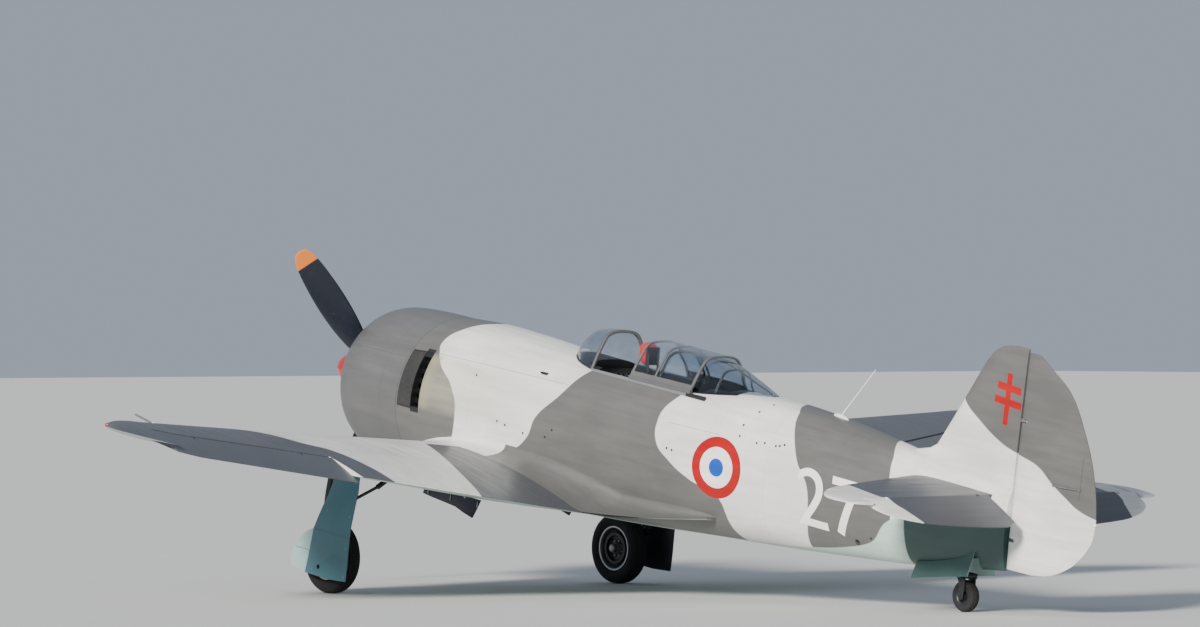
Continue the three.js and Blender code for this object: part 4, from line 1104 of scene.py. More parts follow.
def aileron(name, side):
    bm = bmesh.new()
    wing_solid(bm, side)
    made = piece(bm, name + "_skin", plane_paint_with_painted_shade_and_light, name, (name,))
    outline = tool(lambda bm: aileron_plan(bm, side, AILERON_IN + 8, AILERON_OUT - 8, 20))
    carve(made, outline, operation="INTERSECT")
    gaps = []
    for y in AILERON_HINGES:
        s, at_y, z = hinge_line(y, side)
        gaps.append(tool(lambda bm, s=s, y=at_y, z=z: block(bm, (s - 26, y - 14, z - 70),
                                                            (s + 50, y + 14, z + 70))))
    carve(made, *gaps)
    first, last = (at(*hinge_line(y, side)) for y in HINGE_Y)
    droop = Matrix.Translation(first) @ Matrix.Rotation(
        radians(-8), 4, (last - first).normalized()) @ Matrix.Translation(-first)
    made.data.transform(droop)
    bm = bmesh.new()
    for y in AILERON_HINGES:
        rod(bm, [at(*hinge_line(y - 32, side)), at(*hinge_line(y + 32, side))], 7, 16)
    piece(bm, name + "_pins", steel, name)
    bm = bmesh.new()
    for y in AILERON_HINGES:
        s, at_y, z = hinge_line(y, side)
        hinge_arm(bm, (s - 100, at_y - 9, z - 9), (s, at_y + 9, z + 9), hinge_line(y - 9, side),
                  hinge_line(y + 9, side), 12)
    piece(bm, name + "_brackets", steel)
    return made


for name, side in (("aileron_left", 1), ("aileron_right", -1)):
    made = aileron(name, side)
    low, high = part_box(name)
    drift = max(abs(min(v.co[i] for v in made.data.vertices) - low[i]) for i in range(3))
    print(name, "differs from its CAD box by", round(drift * 1000, 1), "mm")

# %% [markdown]
# ## Canopy
# Three glazed parts: a round windscreen, a sliding hood and a fixed rear fairing. The sides
# lean in almost flat and the roof is round, so one row of shares gives every arch. A frame is
# a rounded strip that follows the arch, and a pane is a thin closed shell.

# %% Arches
SCREEN = [[2915, 90, 520, 592], [2990, 150, 503, 665], [3080, 205, 495, 738], [3160, 245, 490, 788],
          [3250, 270, 488, 804], [3360, 292, 488, 810]]
HOOD = [[3800, 296, 526, 804], [4060, 296, 526, 802], [4280, 295, 526, 800], [4485, 293, 526, 798]]
REAR = [[4050, 262, 488, 772], [4300, 261, 488, 770], [4480, 258, 488, 765], [4620, 236, 488, 738],
        [4800, 192, 488, 688], [4980, 136, 488, 637], [5105, 84, 488, 601]]
ARCH = smooth_line([(1, 0), (0.93, 0.17), (0.84, 0.37), (0.74, 0.57), (0.64, 0.75), (0.55, 0.87),
                    (0.42, 0.95), (0.22, 0.99), (0, 1)], 3)
ARCH = ARCH + [(-y, z) for y, z in reversed(ARCH[:-1])]


def arch_point(table, s, index, inset, skirt=0):
    """Point of the arch at s: index -1 and len(ARCH) are the feet of its two skirts."""
    half, base, top = look_up(table, s)
    foot = index < 0 or index >= len(ARCH)
    y, z = ARCH[min(max(index, 0), len(ARCH) - 1)]
    least = -skirt / (top - base)
    if z < least:
        y, z = copysign(1 - 0.41 * least, y), least
    return at(s, (half - inset) * y,
              base - skirt if foot and skirt > 0 else base + (top - base - inset) * z)


def frame_strip(bm, table, s0, s1, outer, inner, skirt=2):
    """A rounded bar bent over the arch, from one foot to the other."""
    corner = 3.0
    ring = []
    for cs, ci, start in ((s1 - corner, outer + corner, 0), (s0 + corner, outer + corner, 90),
                          (s0 + corner, inner - corner, 180), (s1 - corner, inner - corner, 270)):
        for step in range(4):
            turn = radians(start + 30 * step)
            ring.append((cs + corner * cos(turn), ci - corner * sin(turn)))
    count = len(ARCH) + 1
    skin(bm, count, len(ring), lambda u, k: arch_point(table, ring[k][0], round(u * count) - 1,
                                                       ring[k][1], skirt))


def pane(name, table, s0, s1, outer, inner, skirt, body, along):
    bm = bmesh.new()
    count = len(ARCH) + 2

    def place(u, k):
        s = s0 + (s1 - s0) * u
        if k < count:
            return arch_point(table, s, k - 1, outer, skirt)
        return arch_point(table, s, 2 * count - 1 - k - 1, inner, skirt)

    skin(bm, along, 2 * count, place)
    piece(bm, name + "_pane", glass, body, (name,), sharp=50)


def hood_band(u, k, side):
    """The deep metal band under the hood's glass, on the arch's own curve."""
    half, base, top = look_up(HOOD, 3801 + 683 * u)
    step = k if k < 6 else 11 - k
    z = 18 + 36 * step / 5
    y = 1 - 0.41 * z / (top - base)
    return at(3801 + 683 * u, side * (half * y + (1.5 if k < 6 else -7)), base + z)


# %% Frames
bm = bmesh.new()
frame_strip(bm, SCREEN, 3335, 3360, 0, 22, 60)
piece(bm, "windscreen_arch", ring_paint, replaces=("windscreen_frame",))
bm = bmesh.new()
for s0, s1 in ((3800, 3824), (4052, 4070), (4463, 4485)):
    frame_strip(bm, HOOD, s0, s1, 0, 16)
for side in (-1, 1):
    side_block(bm, side, (3800, 275, 522), (4485, 297, 544), 3)
for side in (-1, 1):
    skin(bm, 12, 12, lambda u, k: hood_band(u, k, side))
piece(bm, "hood_bars", ring_paint, "hood", ("hood_frame",))
bm = bmesh.new()
frame_strip(bm, REAR, 4050, 4072, 0, 18, 60)
frame_strip(bm, REAR, 4640, 4656, 6.3, 18, 60)
spine = [at(s, 0, look_up(REAR, s)[2] - 12) for s in range(4060, 5086, 41)]
rod(bm, spine, 7, 12)
piece(bm, "rear_bars", ring_paint, replaces=("rear_frame",))
print("canopy bars bent")

# %% Panes
pane("windscreen_glass", SCREEN, 2930, 3334.7, 0, 6, 60, "airframe", 30)
pane("hood_glass_front", HOOD, 3824.3, 4051.7, 1, 6, -19, "hood", 8)
pane("hood_glass_rear", HOOD, 4070.3, 4462.7, 1, 6, -19, "hood", 12)
pane("rear_glass", REAR, 4072.3, 5105, 0, 6, 60, "airframe", 40)
print("four panes")

# %% [markdown]
# ## Wing-root fairings
# Where wing and hull meet, the real aircraft has a broad hollow fairing that grows towards the
# trailing edge and runs out along the hull behind it. Each station is a hollow curve from the
# hull's side down to the wing's top, and a straight line closes it underneath.

# %% Root fairings
FAIRING = [[1640, 588, 2, 0], [2000, 640, 34, 0], [2500, 700, 76, 0], [3000, 745, 112, 0],
           [3500, 790, 140, 0], [3850, 812, 152, 0], [4020, 800, 156, 6], [4200, 742, 152, 26],
           [4450, 640, 134, 62], [4700, 525, 96, 104], [4950, 425, 12, 150]]


def hull_side(s, z, grow=0.0):
    """Half width of the hull at height z."""
    top, bottom, half, mid, square = look_up(HULL, s)
    share = min(1.0, abs(z - mid) / (top - mid if z > mid else mid - bottom))
    return (half + grow) * (1 - share ** square) ** (1 / square)


def wing_face(s, y):
    """Height of the wing's upper skin at s and y, held at the trailing edge behind it."""
    le, te, zc, ratio = wing_row(y)
    x = min(max((s - le) / (te - le), 0.0), 1.0)
    chord = te - le
    return mean_line(zc, chord, x) + half_thickness(ratio, chord, x)


def fairing_paint():
    mix, s, y, z = enamel("fairing_paint")
    dark = mix.past(s, mix.curve(z, [
        (-0.50, 2.30), (-0.43, 2.38), (-0.38, 2.50), (-0.33, 2.66), (-0.28, 2.73), (-0.236, 2.75)]))
    colour = mix.blend(dark, LIGHT, DARK)
    colour = with_belly(mix, colour, 0.05)
    return weather(mix, colour, seams(mix, s, (3.10, 4.02)),
                   rivets(mix, mix.math("ABSOLUTE", y), s, 0.05, 0.34))


def fairing(name, side):
    def place(u, k):
        s = 1640 + (4950 - 1640) * u
        reach, rise, lift = look_up(FAIRING, s)
        low = wing_face(s, min(reach, 900)) + lift
        out = max(reach, hull_side(s, low) + 2)
        if k <= 14:
            t = k / 14
            high = low + rise
            start, end = (hull_side(s, high) - 1, high), (out, wing_face(s, out) + lift + 1)
            corner = (hull_side(s, low) + 6, low + 8)
            y, z = ((1 - t) ** 2 * a + 2 * t * (1 - t) * b + t * t * c for a, b,
                    c in zip(start, corner, end))
        else:
            t = (k - 14) / 6
            y, z = out + (hull_side(s, low - 12) - 30 - out) * t, low - 3 - 9 * t
        return at(s, side * y, z)

    bm = bmesh.new()
    skin(bm, 90, 21, place)
    return piece(bm, "root_fairing_" + name, root_paint)


root_paint = fairing_paint()
fairings = [fairing("left", 1), fairing("right", -1)]
print("root fairings:", [len(o.data.polygons) for o in fairings])

# %% [markdown]
# ## Wheels
# A tyre is turned from its profile, bead to bead, and the tread blocks are faces of the crown
# that are inset and raised, which leaves real grooves between them. The wheel is a cast dish
# with lightening holes. Only its flange is bare metal; the rest is near-black as painted shade.

# %% Turned tyres with raised tread blocks
ACROSS = Vector((0, 1, 0))
WHEEL_X, WHEEL_Y, WHEEL_Z = 2.4953, 1.42, 0.275
TAIL_WHEEL = (-2.8827, 0, 0.112)
MAIN_HUB, TAIL_HUB = drawn(WHEEL_X, 0, WHEEL_Z), drawn(*TAIL_WHEEL)
hubs = {side: Vector((WHEEL_X, side * WHEEL_Y, WHEEL_Z)) for side in (1, -1)}
tail_hub = Vector(TAIL_WHEEL)


def tyre(name, centre, profile, steps, tread, body, replaces):
    """profile is half a section; tread is the least radius and least area of a face that is raised."""
    bm = bmesh.new()
    turned(bm, mirrored(profile), steps, centre, centre + ACROSS, closed=True)
    bmesh.ops.remove_doubles(bm, verts=bm.verts, dist=1e-6)
    bmesh.ops.recalc_face_normals(bm, faces=bm.faces)
    blocks = []
    for face in bm.faces:
        out = face.calc_center_median() - centre
        if hypot(out.x, out.z) * 1000 > tread[0] and face.calc_area() > tread[1]:
            blocks.append(face)
    bmesh.ops.inset_individual(bm, faces=blocks, thickness=0.0016, depth=0.003)
    piece(bm, name, rubber, body, replaces, sharp=28, heal=False)


def wheel_paint_with_painted_shade():
    mix = Recipe("wheel_paint_with_painted_shade", 0.45, 0.0)
    x, y, z = mix.node("SeparateXYZ", {0: mix.place(shift=(-WHEEL_X, 0, -WHEEL_Z))}).outputs[:3]
    flange = mix.past(mix.reach(x, z), 0.1605, 0.0008)
    grain = mix.noise(mix.place(), 55, 6.0, 0.6)
    # Painted shade: the dish inside the flange is near-black.
    painted = mix.blend(grain, (0.022, 0.024, 0.027, 1), (0.05, 0.052, 0.055, 1))
    metal = mix.blend(grain, (0.42, 0.43, 0.44, 1), (0.60, 0.61, 0.62, 1))
    mix.bump(grain, 0.25, 0.0006)
    mix.feed(mix.shader.inputs["Metallic"], mix.times(flange, 0.85))
    rough = mix.spread(grain, 0.3, 0.7, 0.34, 0.5)
    return mix.finish(mix.blend(flange, painted, metal), rough)


MAIN_SECTION = [(36, 165.2), (47, 165.6), (52, 169), (56, 176), (61, 185), (68, 197), (73, 212),
                (74, 224), (71.5, 238), (66, 252), (59, 262), (52, 266.5), (50, 262), (45, 262),
                (43, 268.4), (25, 270.8), (23, 265), (18, 265), (16, 271.3), (3, 271.8)]
TAIL_SECTION = [(26, 62), (32, 66), (37.5, 76), (38, 90), (34, 101), (26, 107.5), (20, 109.3),
                (18, 106), (14, 106), (12, 110.2), (2, 111)]
wheel_finish_with_painted_shade = wheel_paint_with_painted_shade()
SIDES = ("left", 1), ("right", -1)
for name, side in SIDES:
    tyre("tyre_" + name + "_tread", hubs[side], MAIN_SECTION, 72, (266, 0.00014), "wheel_" + name,
         ("tyre_" + name,))
tyre("tail_tyre", tail_hub, TAIL_SECTION, 48, (109, 0.00009), "tail_wheel", ())
print("three tyres, tread raised 3 mm")

# %% Wheel discs and hubs
HALF_RIM = [(0, 160), (34, 160), (44, 163.6), (50, 164.8), (54.5, 169), (58, 173.5), (60.5, 172),
            (60.5, 166), (57, 158), (50, 150), (40, 145), (30, 140), (24, 128), (20, 112), (16, 88),
            (18, 66), (28, 54), (40, 48), (44, 40), (44, 19)]


def round_hub(hub, turn, radius):
    return hub + Vector((cos(turn), 0, sin(turn))) * radius


def wheel(name, side):
    hub = hubs[side]
    bm = bmesh.new()
    turned(bm, mirrored(HALF_RIM), 72, hub, hub + ACROSS, closed=True)
    holes = []
    for index in range(8):
        spot = round_hub(hub, tau * index / 8, 0.104)
        holes.append(tool(lambda bm, spot=spot: turned(
            bm, bar(-60, 60, 17), 20, spot, spot + ACROSS)))
    made = carve(piece(bm, "wheel_disc_" + name, wheel_finish_with_painted_shade, "wheel_" + name,
                       ("rim_" + name,)), *holes)
    bolts = bmesh.new()
    for index in range(8):
        spot = round_hub(hub, tau * (index + 0.5) / 8, 0.060)
        for way in (1, -1):
            profile = [(way * a, r) for a, r in ((16, 0), (16, 8), (27, 8), (30, 6), (30, 0))]
            turned(bolts, profile, 6, spot, spot + ACROSS)
    cap = [(-side * a, r) for a, r in ((40, 0), (40, 34), (60, 33), (80, 28), (86, 18), (88, 0))]
    turned(bolts, cap, 32, hub, hub + ACROSS)
    piece(bolts, "wheel_bolts_" + name, steel, "wheel_" + name)
    drum = bmesh.new()
    ring = [(-side * a, r) for a, r in ((18, 100), (18, 122), (44, 124), (47, 121), (47, 100))]
    turned(drum, ring, 64, hub, hub + ACROSS, closed=True)
    piece(drum, "brake_drum_" + name, black, "wheel_" + name)
    return made


discs = [wheel(name, side) for name, side in SIDES]
bm = bmesh.new()
HUB_SECTION = [(0, 60), (27, 60.5), (30, 66), (33, 66), (35, 58), (30, 50), (16, 44), (14, 30),
               (24, 25), (34, 24), (34, 17)]
turned(bm, mirrored(HUB_SECTION), 48, tail_hub, tail_hub + ACROSS, closed=True)
for index in range(6):
    spot = round_hub(tail_hub, tau * index / 6, 0.035)
    turned(bm, bar(-21, 21, 4), 6, spot, spot + ACROSS)
piece(bm, "tail_wheel_hub", black, "tail_wheel", ("tail_wheel",))
print("wheel discs:", [len(o.data.polygons) for o in discs])

# %% [markdown]
# ## Main legs
# Each leg is an oil strut: a painted cylinder with collars, a chromed piston, scissor links
# that stop it turning, and a side brace up into the wing. They are lathe turned parts and
# forked links, so `turned` and `plate` make them on the same lines as the CAD bars. The dark
# stay is the tube that shows in front of the door's upper edge in the photograph.

# %% Legs, links and braces
def plate(bm, outline, y0, y1, bevel=1.5):
    """A flat plate: an outline of (s, z) corners between two values of y."""
    made = bmesh.ops.contextual_create(bm, geom=[
        bmesh.ops.create_vert(bm, co=at(s, y0, z))["vert"][0] for s, z in outline])["faces"]
    grown = bmesh.ops.extrude_face_region(bm, geom=made)["geom"]
    verts = [item for item in grown if isinstance(item, bmesh.types.BMVert)]
    bmesh.ops.translate(bm, verts=verts, vec=(0, (y1 - y0) / 1000, 0))
    faces = set(made) | {face for vert in verts for face in vert.link_faces}
    if bevel:
        edges = list({edge for face in faces for edge in face.edges if edge.is_manifold
                      and edge.calc_face_angle(0) > 0.6})
        bmesh.ops.bevel(bm, geom=edges, offset=bevel / 1000, affect="EDGES", segments=2, profile=0.5,
                        material=-1,
                        clamp_overlap=True)


def leg(name, side):
    hub_s, hub_z = MAIN_HUB[0], MAIN_HUB[2]
    leg_y = side * 1545
    top, foot = at(2222, leg_y, -340), at(hub_s + 6, leg_y, hub_z - 12)

    def down(t):
        return top.lerp(foot, t)

    def slant(t):
        return 2222 + (hub_s + 6 - 2222) * t, -340 + (hub_z - 12 + 340) * t

    bm = bmesh.new()
    turned(bm, [(0, 0), (0, 33), (6, 36), (60, 36), (64, 39), (82, 39), (86, 36), (505, 36),
                (510, 39.5), (548, 39.5),
                (556, 37), (573, 34), (573, 0)], 40, top, foot)
    turned(bm, [(-8, 0), (-8, 20), (0, 24), (231, 24), (239, 20), (239, 0)], 32,
           at(2050.3 + 4, leg_y, -385),
           at(2289.7, leg_y, -385))
    axle = at(hub_s, side * 1572, hub_z)
    turned(bm, [(0, 0), (0, 30), (6, 38), (54, 38), (60, 34), (60, 24), (66, 22), (66, 18), (229, 18),
                (231, 0)], 40,
           axle, axle - Vector((0, side, 0)))
    turned(bm, [(-14, 0), (-14, 14), (-10, 17), (0, 17), (0, 0)], 6, axle, axle - Vector((0, side, 0)))
    for s0, s1, z0, z1 in ((2060, 2130, -760, -720), (1960, 2030, -1020, -980)):
        side_block(bm, side, (s0, 1560, z0), (s1, 1599.7, z1), 5)
    elbow_s, elbow_z = slant(0.79)[0] + 120, slant(0.79)[1]
    for root in (slant(0.62), slant(0.957)):
        for shift in (-16, 10):
            y0 = leg_y + shift
            (a, b), wide = root, 15 if root[1] > -900 else 13
            plate(bm, [(a, b - wide), (a, b + wide), (elbow_s, elbow_z + 9), (elbow_s, elbow_z - 9)],
                  y0, y0 + 6, 1)
    pin = at(elbow_s, leg_y - 22, elbow_z)
    turned(bm, [(0, 0), (0, 8), (3, 11), (41, 11), (44, 8), (44, 0)], 16, pin, pin + ACROSS)
    low = at(slant(0.496)[0], side * 1530, slant(0.496)[1])
    knee, high = at(2190, side * 1250, -560), at(2190, side * 1130, -482)
    rod(bm, [low, low.lerp(knee, 0.06), low.lerp(knee, 0.1), low.lerp(knee, 0.93), knee],
        [17, 17, 12, 12, 15], 24)
    turned(bm, [(-14, 0), (-14, 16), (-8, 20), (118, 20), (122, 23), (136, 23), (142, 18), (142, 0)],
           32, knee, high)
    turned(bm, [(0, 0), (0, 15), (4, 18), (231, 18), (235, 15), (235, 0)], 32,
           at(2052, side * 1130, -482),
           at(2289, side * 1130, -482))
    made = piece(bm, "leg_strut_" + name, leg_enamel, replaces=("leg_" + name,))
    bm = bmesh.new()
    turned(bm, [(0, 0), (0, 26), (210, 26), (214, 33), (262, 33), (270, 28), (282, 26), (282, 0)], 40,
           down(0.668), foot)
    piece(bm, "leg_piston_" + name, chrome)
    bm = bmesh.new()
    stay = [at(2064, leg_y, -385), at(2022, side * 1558, -440), at(2010, side * 1562, -540),
            at(1998, side * 1562, -640), at(1992, side * 1562, -722), at(2030, side * 1556, -790),
            down(0.6)]
    rod(bm, stay, [20, 26, 27, 27, 26, 22, 20], 24)
    piece(bm, "leg_front_stay_" + name, black)
    bm = bmesh.new()
    line = [down(0.12), down(0.3), down(0.5), down(0.66)]
    shift = at(1, 0, 0) - at(42, 0, 0)
    rod(bm, smooth_points([point + shift for point in line], 6), 4, 10)
    for t in (0.2, 0.42, 0.62):
        turned(bm, [(-7, 34), (-7, 41), (7, 41), (7, 34)], 24, down(t), foot, closed=True)
    piece(bm, "brake_line_" + name, black)
    return made


def smooth_points(points, steps):
    """More points on a smooth line through the given ones."""
    rows = [[i, *point] for i, point in enumerate(points)]
    count = (len(points) - 1) * steps
    return [Vector(look_up(rows, i / steps)) for i in range(count + 1)]


leg_enamel = grained("leg_enamel", (0.018, 0.019, 0.021, 1), (0.045, 0.046, 0.048, 1), 70, 0.42, 0.2)
legs = [leg(name, side) for name, side in SIDES]
print("legs:", [len(o.data.polygons) for o in legs])

# %% [markdown]
# ## Gear doors and flaps
# The leg doors are fixed plates that carry a small flat front flap, with a rod along the joint. The inner
# doors and the split flaps move, so each is its own piece and rides on its own body. A flap is
# a slice of the wing's lower skin, cut with the same tools as the wing.

# %% Leg doors
def door_paint(name, outer, inner):
    """The side that faces outward in one colour, the other side in another."""
    mix = Recipe(name, 0.42)
    mix.body()
    across = mix.node("SeparateXYZ", {0: mix.node("TexCoord", {}).outputs["Object"]}).outputs[1]
    facing = mix.node("SeparateXYZ", {0: mix.node("TexCoord", {}).outputs["Normal"]}).outputs[1]
    outside = mix.spread(mix.times(across, facing), -0.05, 0.05)
    drift = mix.noise(mix.spot, 3.0, 5.0)
    chips = mix.past(mix.noise(mix.spot, 38, 7.0, 0.7), 0.72, 0.02)
    tone = mix.spread(drift, 0.3, 0.7, 0.82, 1.06)
    colour = mix.blend(outside, inner, outer)
    colour = mix.dim(colour, tone)
    mix.bump(mix.noise(mix.spot, 150, 3.0), 0.15, 0.0006)
    rough = mix.spread(drift, 0.3, 0.7, 0.34, 0.5)
    return mix.finish(mix.blend(chips, colour, (0.20, 0.24, 0.24, 1)), rough)


# Painted shade: the leg door's outer face is a darker teal than its front flap, as if shaded by the wing;
# the inner faces are near-black.
leg_door_painted_shade = door_paint("leg_door_painted_shade", (0.055, 0.160, 0.195, 1), (0.012, 0.016, 0.024, 1))
front_flap_paint = door_paint("front_flap_paint", (0.42, 0.62, 0.58, 1), (0.012, 0.016, 0.024, 1))
FRONT_EDGE = [(2100, -452), (2090, -540), (2050, -640), (1998, -735), (1950, -835), (1916, -912)]
REAR_EDGE = [(2148, -1265), (2350, -1247), (2354, -1110), (2350, -960), (2352, -828), (2376, -680),
             (2398, -560), (2398, -452)]
FLAP_EDGE = [(1912, -918), (1850, -945), (1790, -985), (1746, -1030), (1708, -1085), (1682, -1140),
             (1670, -1195), (1674, -1226), (1760, -1248), (1858, -1262)]


def leg_door(name, side):
    y0, y1 = side * 1600, side * 1609
    bm = bmesh.new()
    plate(bm, FRONT_EDGE + [(1866, -1264)] + REAR_EDGE, y0, y1, 1.2)
    made = piece(bm, name + "_panel", leg_door_painted_shade, replaces=(name,))
    spot = at(2013, side * 1590, -1194)
    hole = tool(lambda bm: turned(bm, bar(-40, 40, 17), 28, spot, spot + ACROSS))
    groove = tool(lambda bm: plate(bm, [(1900, -914), (2360, -917), (2360, -922), (1900, -919)],
                                   side * 1607.4,
                                   side * 1615, 0))
    carve(made, hole, groove)
    flap = bmesh.new()
    lower = [(1888, -1092), (1704, -1092)] + [p for p in FLAP_EDGE if p[1] < -1092]
    upper = [p for p in FLAP_EDGE if p[1] > -1086] + [(1704, -1088), (1888, -1088)]
    for half in (lower, upper):
        plate(flap, half, y0, y1 - side * 2, 1)
    plate(flap, [(1700, -1095), (1700, -1083), (1892, -1083), (1892, -1095)], y0 - side * 5, y0, 1)
    turned(flap, bar(0, 346, 5), 12, at(1914, side * 1597, -916), at(1862, side * 1597, -1262))
    piece(flap, name + "_front_flap", front_flap_paint)
    screws = bmesh.new()
    for s, z in [(2125, -500), (2360, -500), (2330, -760), (2060, -760), (2320, -1000), (1940, -1225),
                 (2320, -1215)]:
        turned(screws, [(0, 0), (0, 5), (1.2, 4), (1.5, 0)], 12, at(s, side * 1609, z),
               at(s, side * 1700, z))
    piece(screws, name + "_screws", steel)


for name, side in SIDES:
    leg_door("leg_door_" + name, side)
print("leg doors with their front flaps")

# %% Inner doors on their eyes
DOOR_EYES = (1960, 2280)


def inner_door(name, side):
    y = side * 479
    outline = [(1835, -628), (2475, -628), (2462, -652), (2425, -722), (2392, -778), (2290, -757),
               (2188, -729), (2060, -718), (1900, -706), (1787, -695), (1794, -664)]
    bm = bmesh.new()
    plate(bm, outline, side * 474, side * 484, 1.5)
    made = piece(bm, name + "_panel", navy, name, (name,))
    notches = [tool(lambda bm, s=s: block(bm, (s - 12, y - 30, -646), (s + 12, y + 30, -600)))
               for s in DOOR_EYES]
    carve(made, *notches)
    fittings = bmesh.new()
    for s in DOOR_EYES:
        turned(fittings, bar(-30, 30, 4.6), 16, at(s, y, -630),
               at(s + 10, y, -630))
    for s in (1850, 2120, 2440):
        plate(fittings, [(s, -640), (s + 8, -640), (s + 8, -690), (s, -690)], side * 484, side * 490, 1)
    piece(fittings, name + "_pins", steel, name)
    eyes = bmesh.new()
    for s in DOOR_EYES:
        ring = [(0, 5.8), (0, 10.5), (16, 10.5), (16, 5.8)]
        turned(eyes, ring, 24, at(s - 8, y, -630), at(s + 8, y, -630), closed=True)
        block(eyes, (s - 7, y - 8, -622), (s + 7, y + 8, -545), 1)
    piece(eyes, name + "_eyes", steel)


inner_door("inner_door_left", 1)
inner_door("inner_door_right", -1)
print("inner doors hung")

# %% Split flaps
FLAP_HINGES = (1100, 2250)


def flap_pin(side, y):
    """Hinge point of the flap, at half the thickness of its skin."""
    ends = []
    for place, ahead in ((FLAP_IN, 460), (FLAP_OUT, 390)):
        le, te, zc, ratio = wing_row(place)
        chord = te - le
        x = (te - ahead - le) / chord
        half = half_thickness(ratio, chord, x) + 2
        ends.append((te - ahead, mean_line(zc, chord, x) - half + 7))
    t = (y - FLAP_IN) / (FLAP_OUT - FLAP_IN)
    s, z = (a + (b - a) * t for a, b in zip(*ends))
    return s, side * y, z


def flap(name, side):
    bm = bmesh.new()
    wing_solid(bm, side)
    made = piece(bm, name + "_skin", plane_paint_with_painted_shade_and_light, name, (name,))
    carve(made, tool(lambda bm: wing_solid(bm, side, 14)))
    carve(made, tool(lambda bm: flap_plan(bm, side, 0)), operation="INTERSECT")
    notches = []
    pins, eyes = bmesh.new(), bmesh.new()
    for y in FLAP_HINGES:
        s, across, z = flap_pin(side, y)
        notches.append(tool(lambda bm, s=s, y=across,
                            z=z: block(bm, (s - 40, y - 14, z - 14), (s + 14, y + 14, z + 14))))
        low, high = at(*flap_pin(side, y - 26)), at(*flap_pin(side, y + 26))
        turned(pins, bar(0, 52, 3.4), 14, low, high)
        low, high = at(*flap_pin(side, y - 6)), at(*flap_pin(side, y + 6))
        turned(eyes, [(0, 4.4), (0, 8), (12, 8), (12, 4.4)], 20, low, high, closed=True)
        block(eyes, (s - 6, across - 6, z + 6), (s + 6, across + 6, z + 30), 0.6)
    carve(made, *notches)
    piece(pins, name + "_pins", steel, name)
    piece(eyes, name + "_eyes", steel)
    return made


flaps = [flap("flap_left", 1), flap("flap_right", -1)]
print("flaps:", [len(o.data.polygons) for o in flaps])

# %% Jacking pads
bm = bmesh.new()
for side in (1, -1):
    low, high = at(2450, side * 2200, -360), at(2450, side * 2200, -300)
    turned(bm, [(0, 0), (0, 30), (3, 34), (60, 34), (60, 0)], 36, low, high)
    for turn in range(6):
        way = Vector((cos(turn * tau / 6), sin(turn * tau / 6), 0)) * 0.024
        turned(bm, bar(-2, 2, 3.5), 6, low + way, high + way)
piece(bm, "jacking_pads", steel)
print("jacking pads set under the wings")

# %% Tail doors, tail leg and fork
def tail_doors(name, side):
    edge = []
    for s in (6830, 6920, 7000, 7100, 7200, 7300, 7400):
        top, bottom, half, mid, square = look_up(HULL, s)
        edge.append((s, 79, mid - (mid - bottom) * (1 - (79 / half) ** square) ** (1 / square) - 0.8))
    rim = edge + [(7400, 128, -285), (7250, 132, -315), (7100, 136, -345), (6975, 138, -372),
                  (6850, 140, -400)]
    bm = bmesh.new()

    def place(u, k):
        s, y, z = rim[k]
        return at(s, side * (y + 8 * u), z)

    skin(bm, 1, len(rim), place)
    lip = [at(s, side * (y + 4), z) for s, y, z in rim[len(edge):]]
    rod(bm, lip, 5, 12)
    for s in (6900, 7330):
        t = (s - 6830) / 570
        side_block(bm, side, (s - 14, 60, -348 + 130 * t), (s + 14, 84, -318 + 130 * t), 2)
    piece(bm, name + "_panel", tail_door_paint, replaces=(name,))


tail_door_paint = door_paint("tail_door_paint", (0.060, 0.120, 0.112, 1), (0.36, 0.54, 0.50, 1))
tail_doors("tail_door_left", 1)
tail_doors("tail_door_right", -1)

hub_s, hub_z = TAIL_HUB[0], TAIL_HUB[2]
stem_s, stem_z = hub_s - 70, hub_z + 175
bm = bmesh.new()
turned(bm, [(0, 21), (0, 31), (5, 34), (20, 34), (24, 31), (60, 31), (64, 34), (84, 34), (84, 21)], 36,
       at(stem_s, 0, stem_z + 6), at(stem_s, 0, stem_z + 90), closed=True)
stem_top = -stem_z - 156.3
turned(bm, bar(80, stem_top, 30), 32, at(stem_s, 0, stem_z + 6),
       at(stem_s, 0, stem_z + 90))
rod(bm, [at(stem_s - 10, 0, -215), at(stem_s - 60, 0, -207), at(stem_s - 250, 0, -174)], [20, 15, 18],
    24)
turned(bm, bar(0, 40, 18), 24, at(stem_s - 250, 0, -191), at(stem_s - 250, 0, -150))
piece(bm, "tail_leg_strut", steel, replaces=("tail_leg",))

bm = bmesh.new()
turned(bm, [(0, 0), (0, 28), (4, 32), (28, 32), (31, 29), (31.5, 19.5), (92, 19.5), (92, 0)], 36,
       at(stem_s, 0, stem_z - 26), at(stem_s, 0, stem_z + 66))
for side in (1, -1):
    arm = [(stem_s + 6, stem_z - 22), (stem_s + 40, stem_z - 20), (stem_s + 96, stem_z - 26),
           (hub_s + 30, hub_z + 70),
           (hub_s + 24, hub_z - 8), (hub_s + 14, hub_z - 22), (hub_s - 14, hub_z - 22),
           (hub_s - 24, hub_z - 8),
           (hub_s - 18, hub_z + 66)]
    plate(bm, arm, side * 46, side * 57, 2.5)
    cap = at(hub_s, side * 57, hub_z)
    turned(bm, [(0, 0), (0, 17), (4, 15), (4, 8), (9, 7), (9, 0)], 24, cap, cap + Vector((0, side, 0)))
block(bm, (stem_s - 30, -57, stem_z - 42), (stem_s + 98, 57, stem_z - 20), 7)
turned(bm, bar(-52, 52, 16), 24, at(hub_s, 0, hub_z), at(hub_s, 10, hub_z))
piece(bm, "steering_fork", black, "tail_fork", ("tail_fork",))
print("tail wheel carried by its fork and leg")

# %% [markdown]
# ## Cockpit
# Through the glass and the open hood one sees the seat, its pads and straps, the dials and the
# stick. Padded pieces are swollen by a short cloth simulation, which pulls their sides in as
# stuffed leather does. Straps are flat webbing laid along a smooth path.

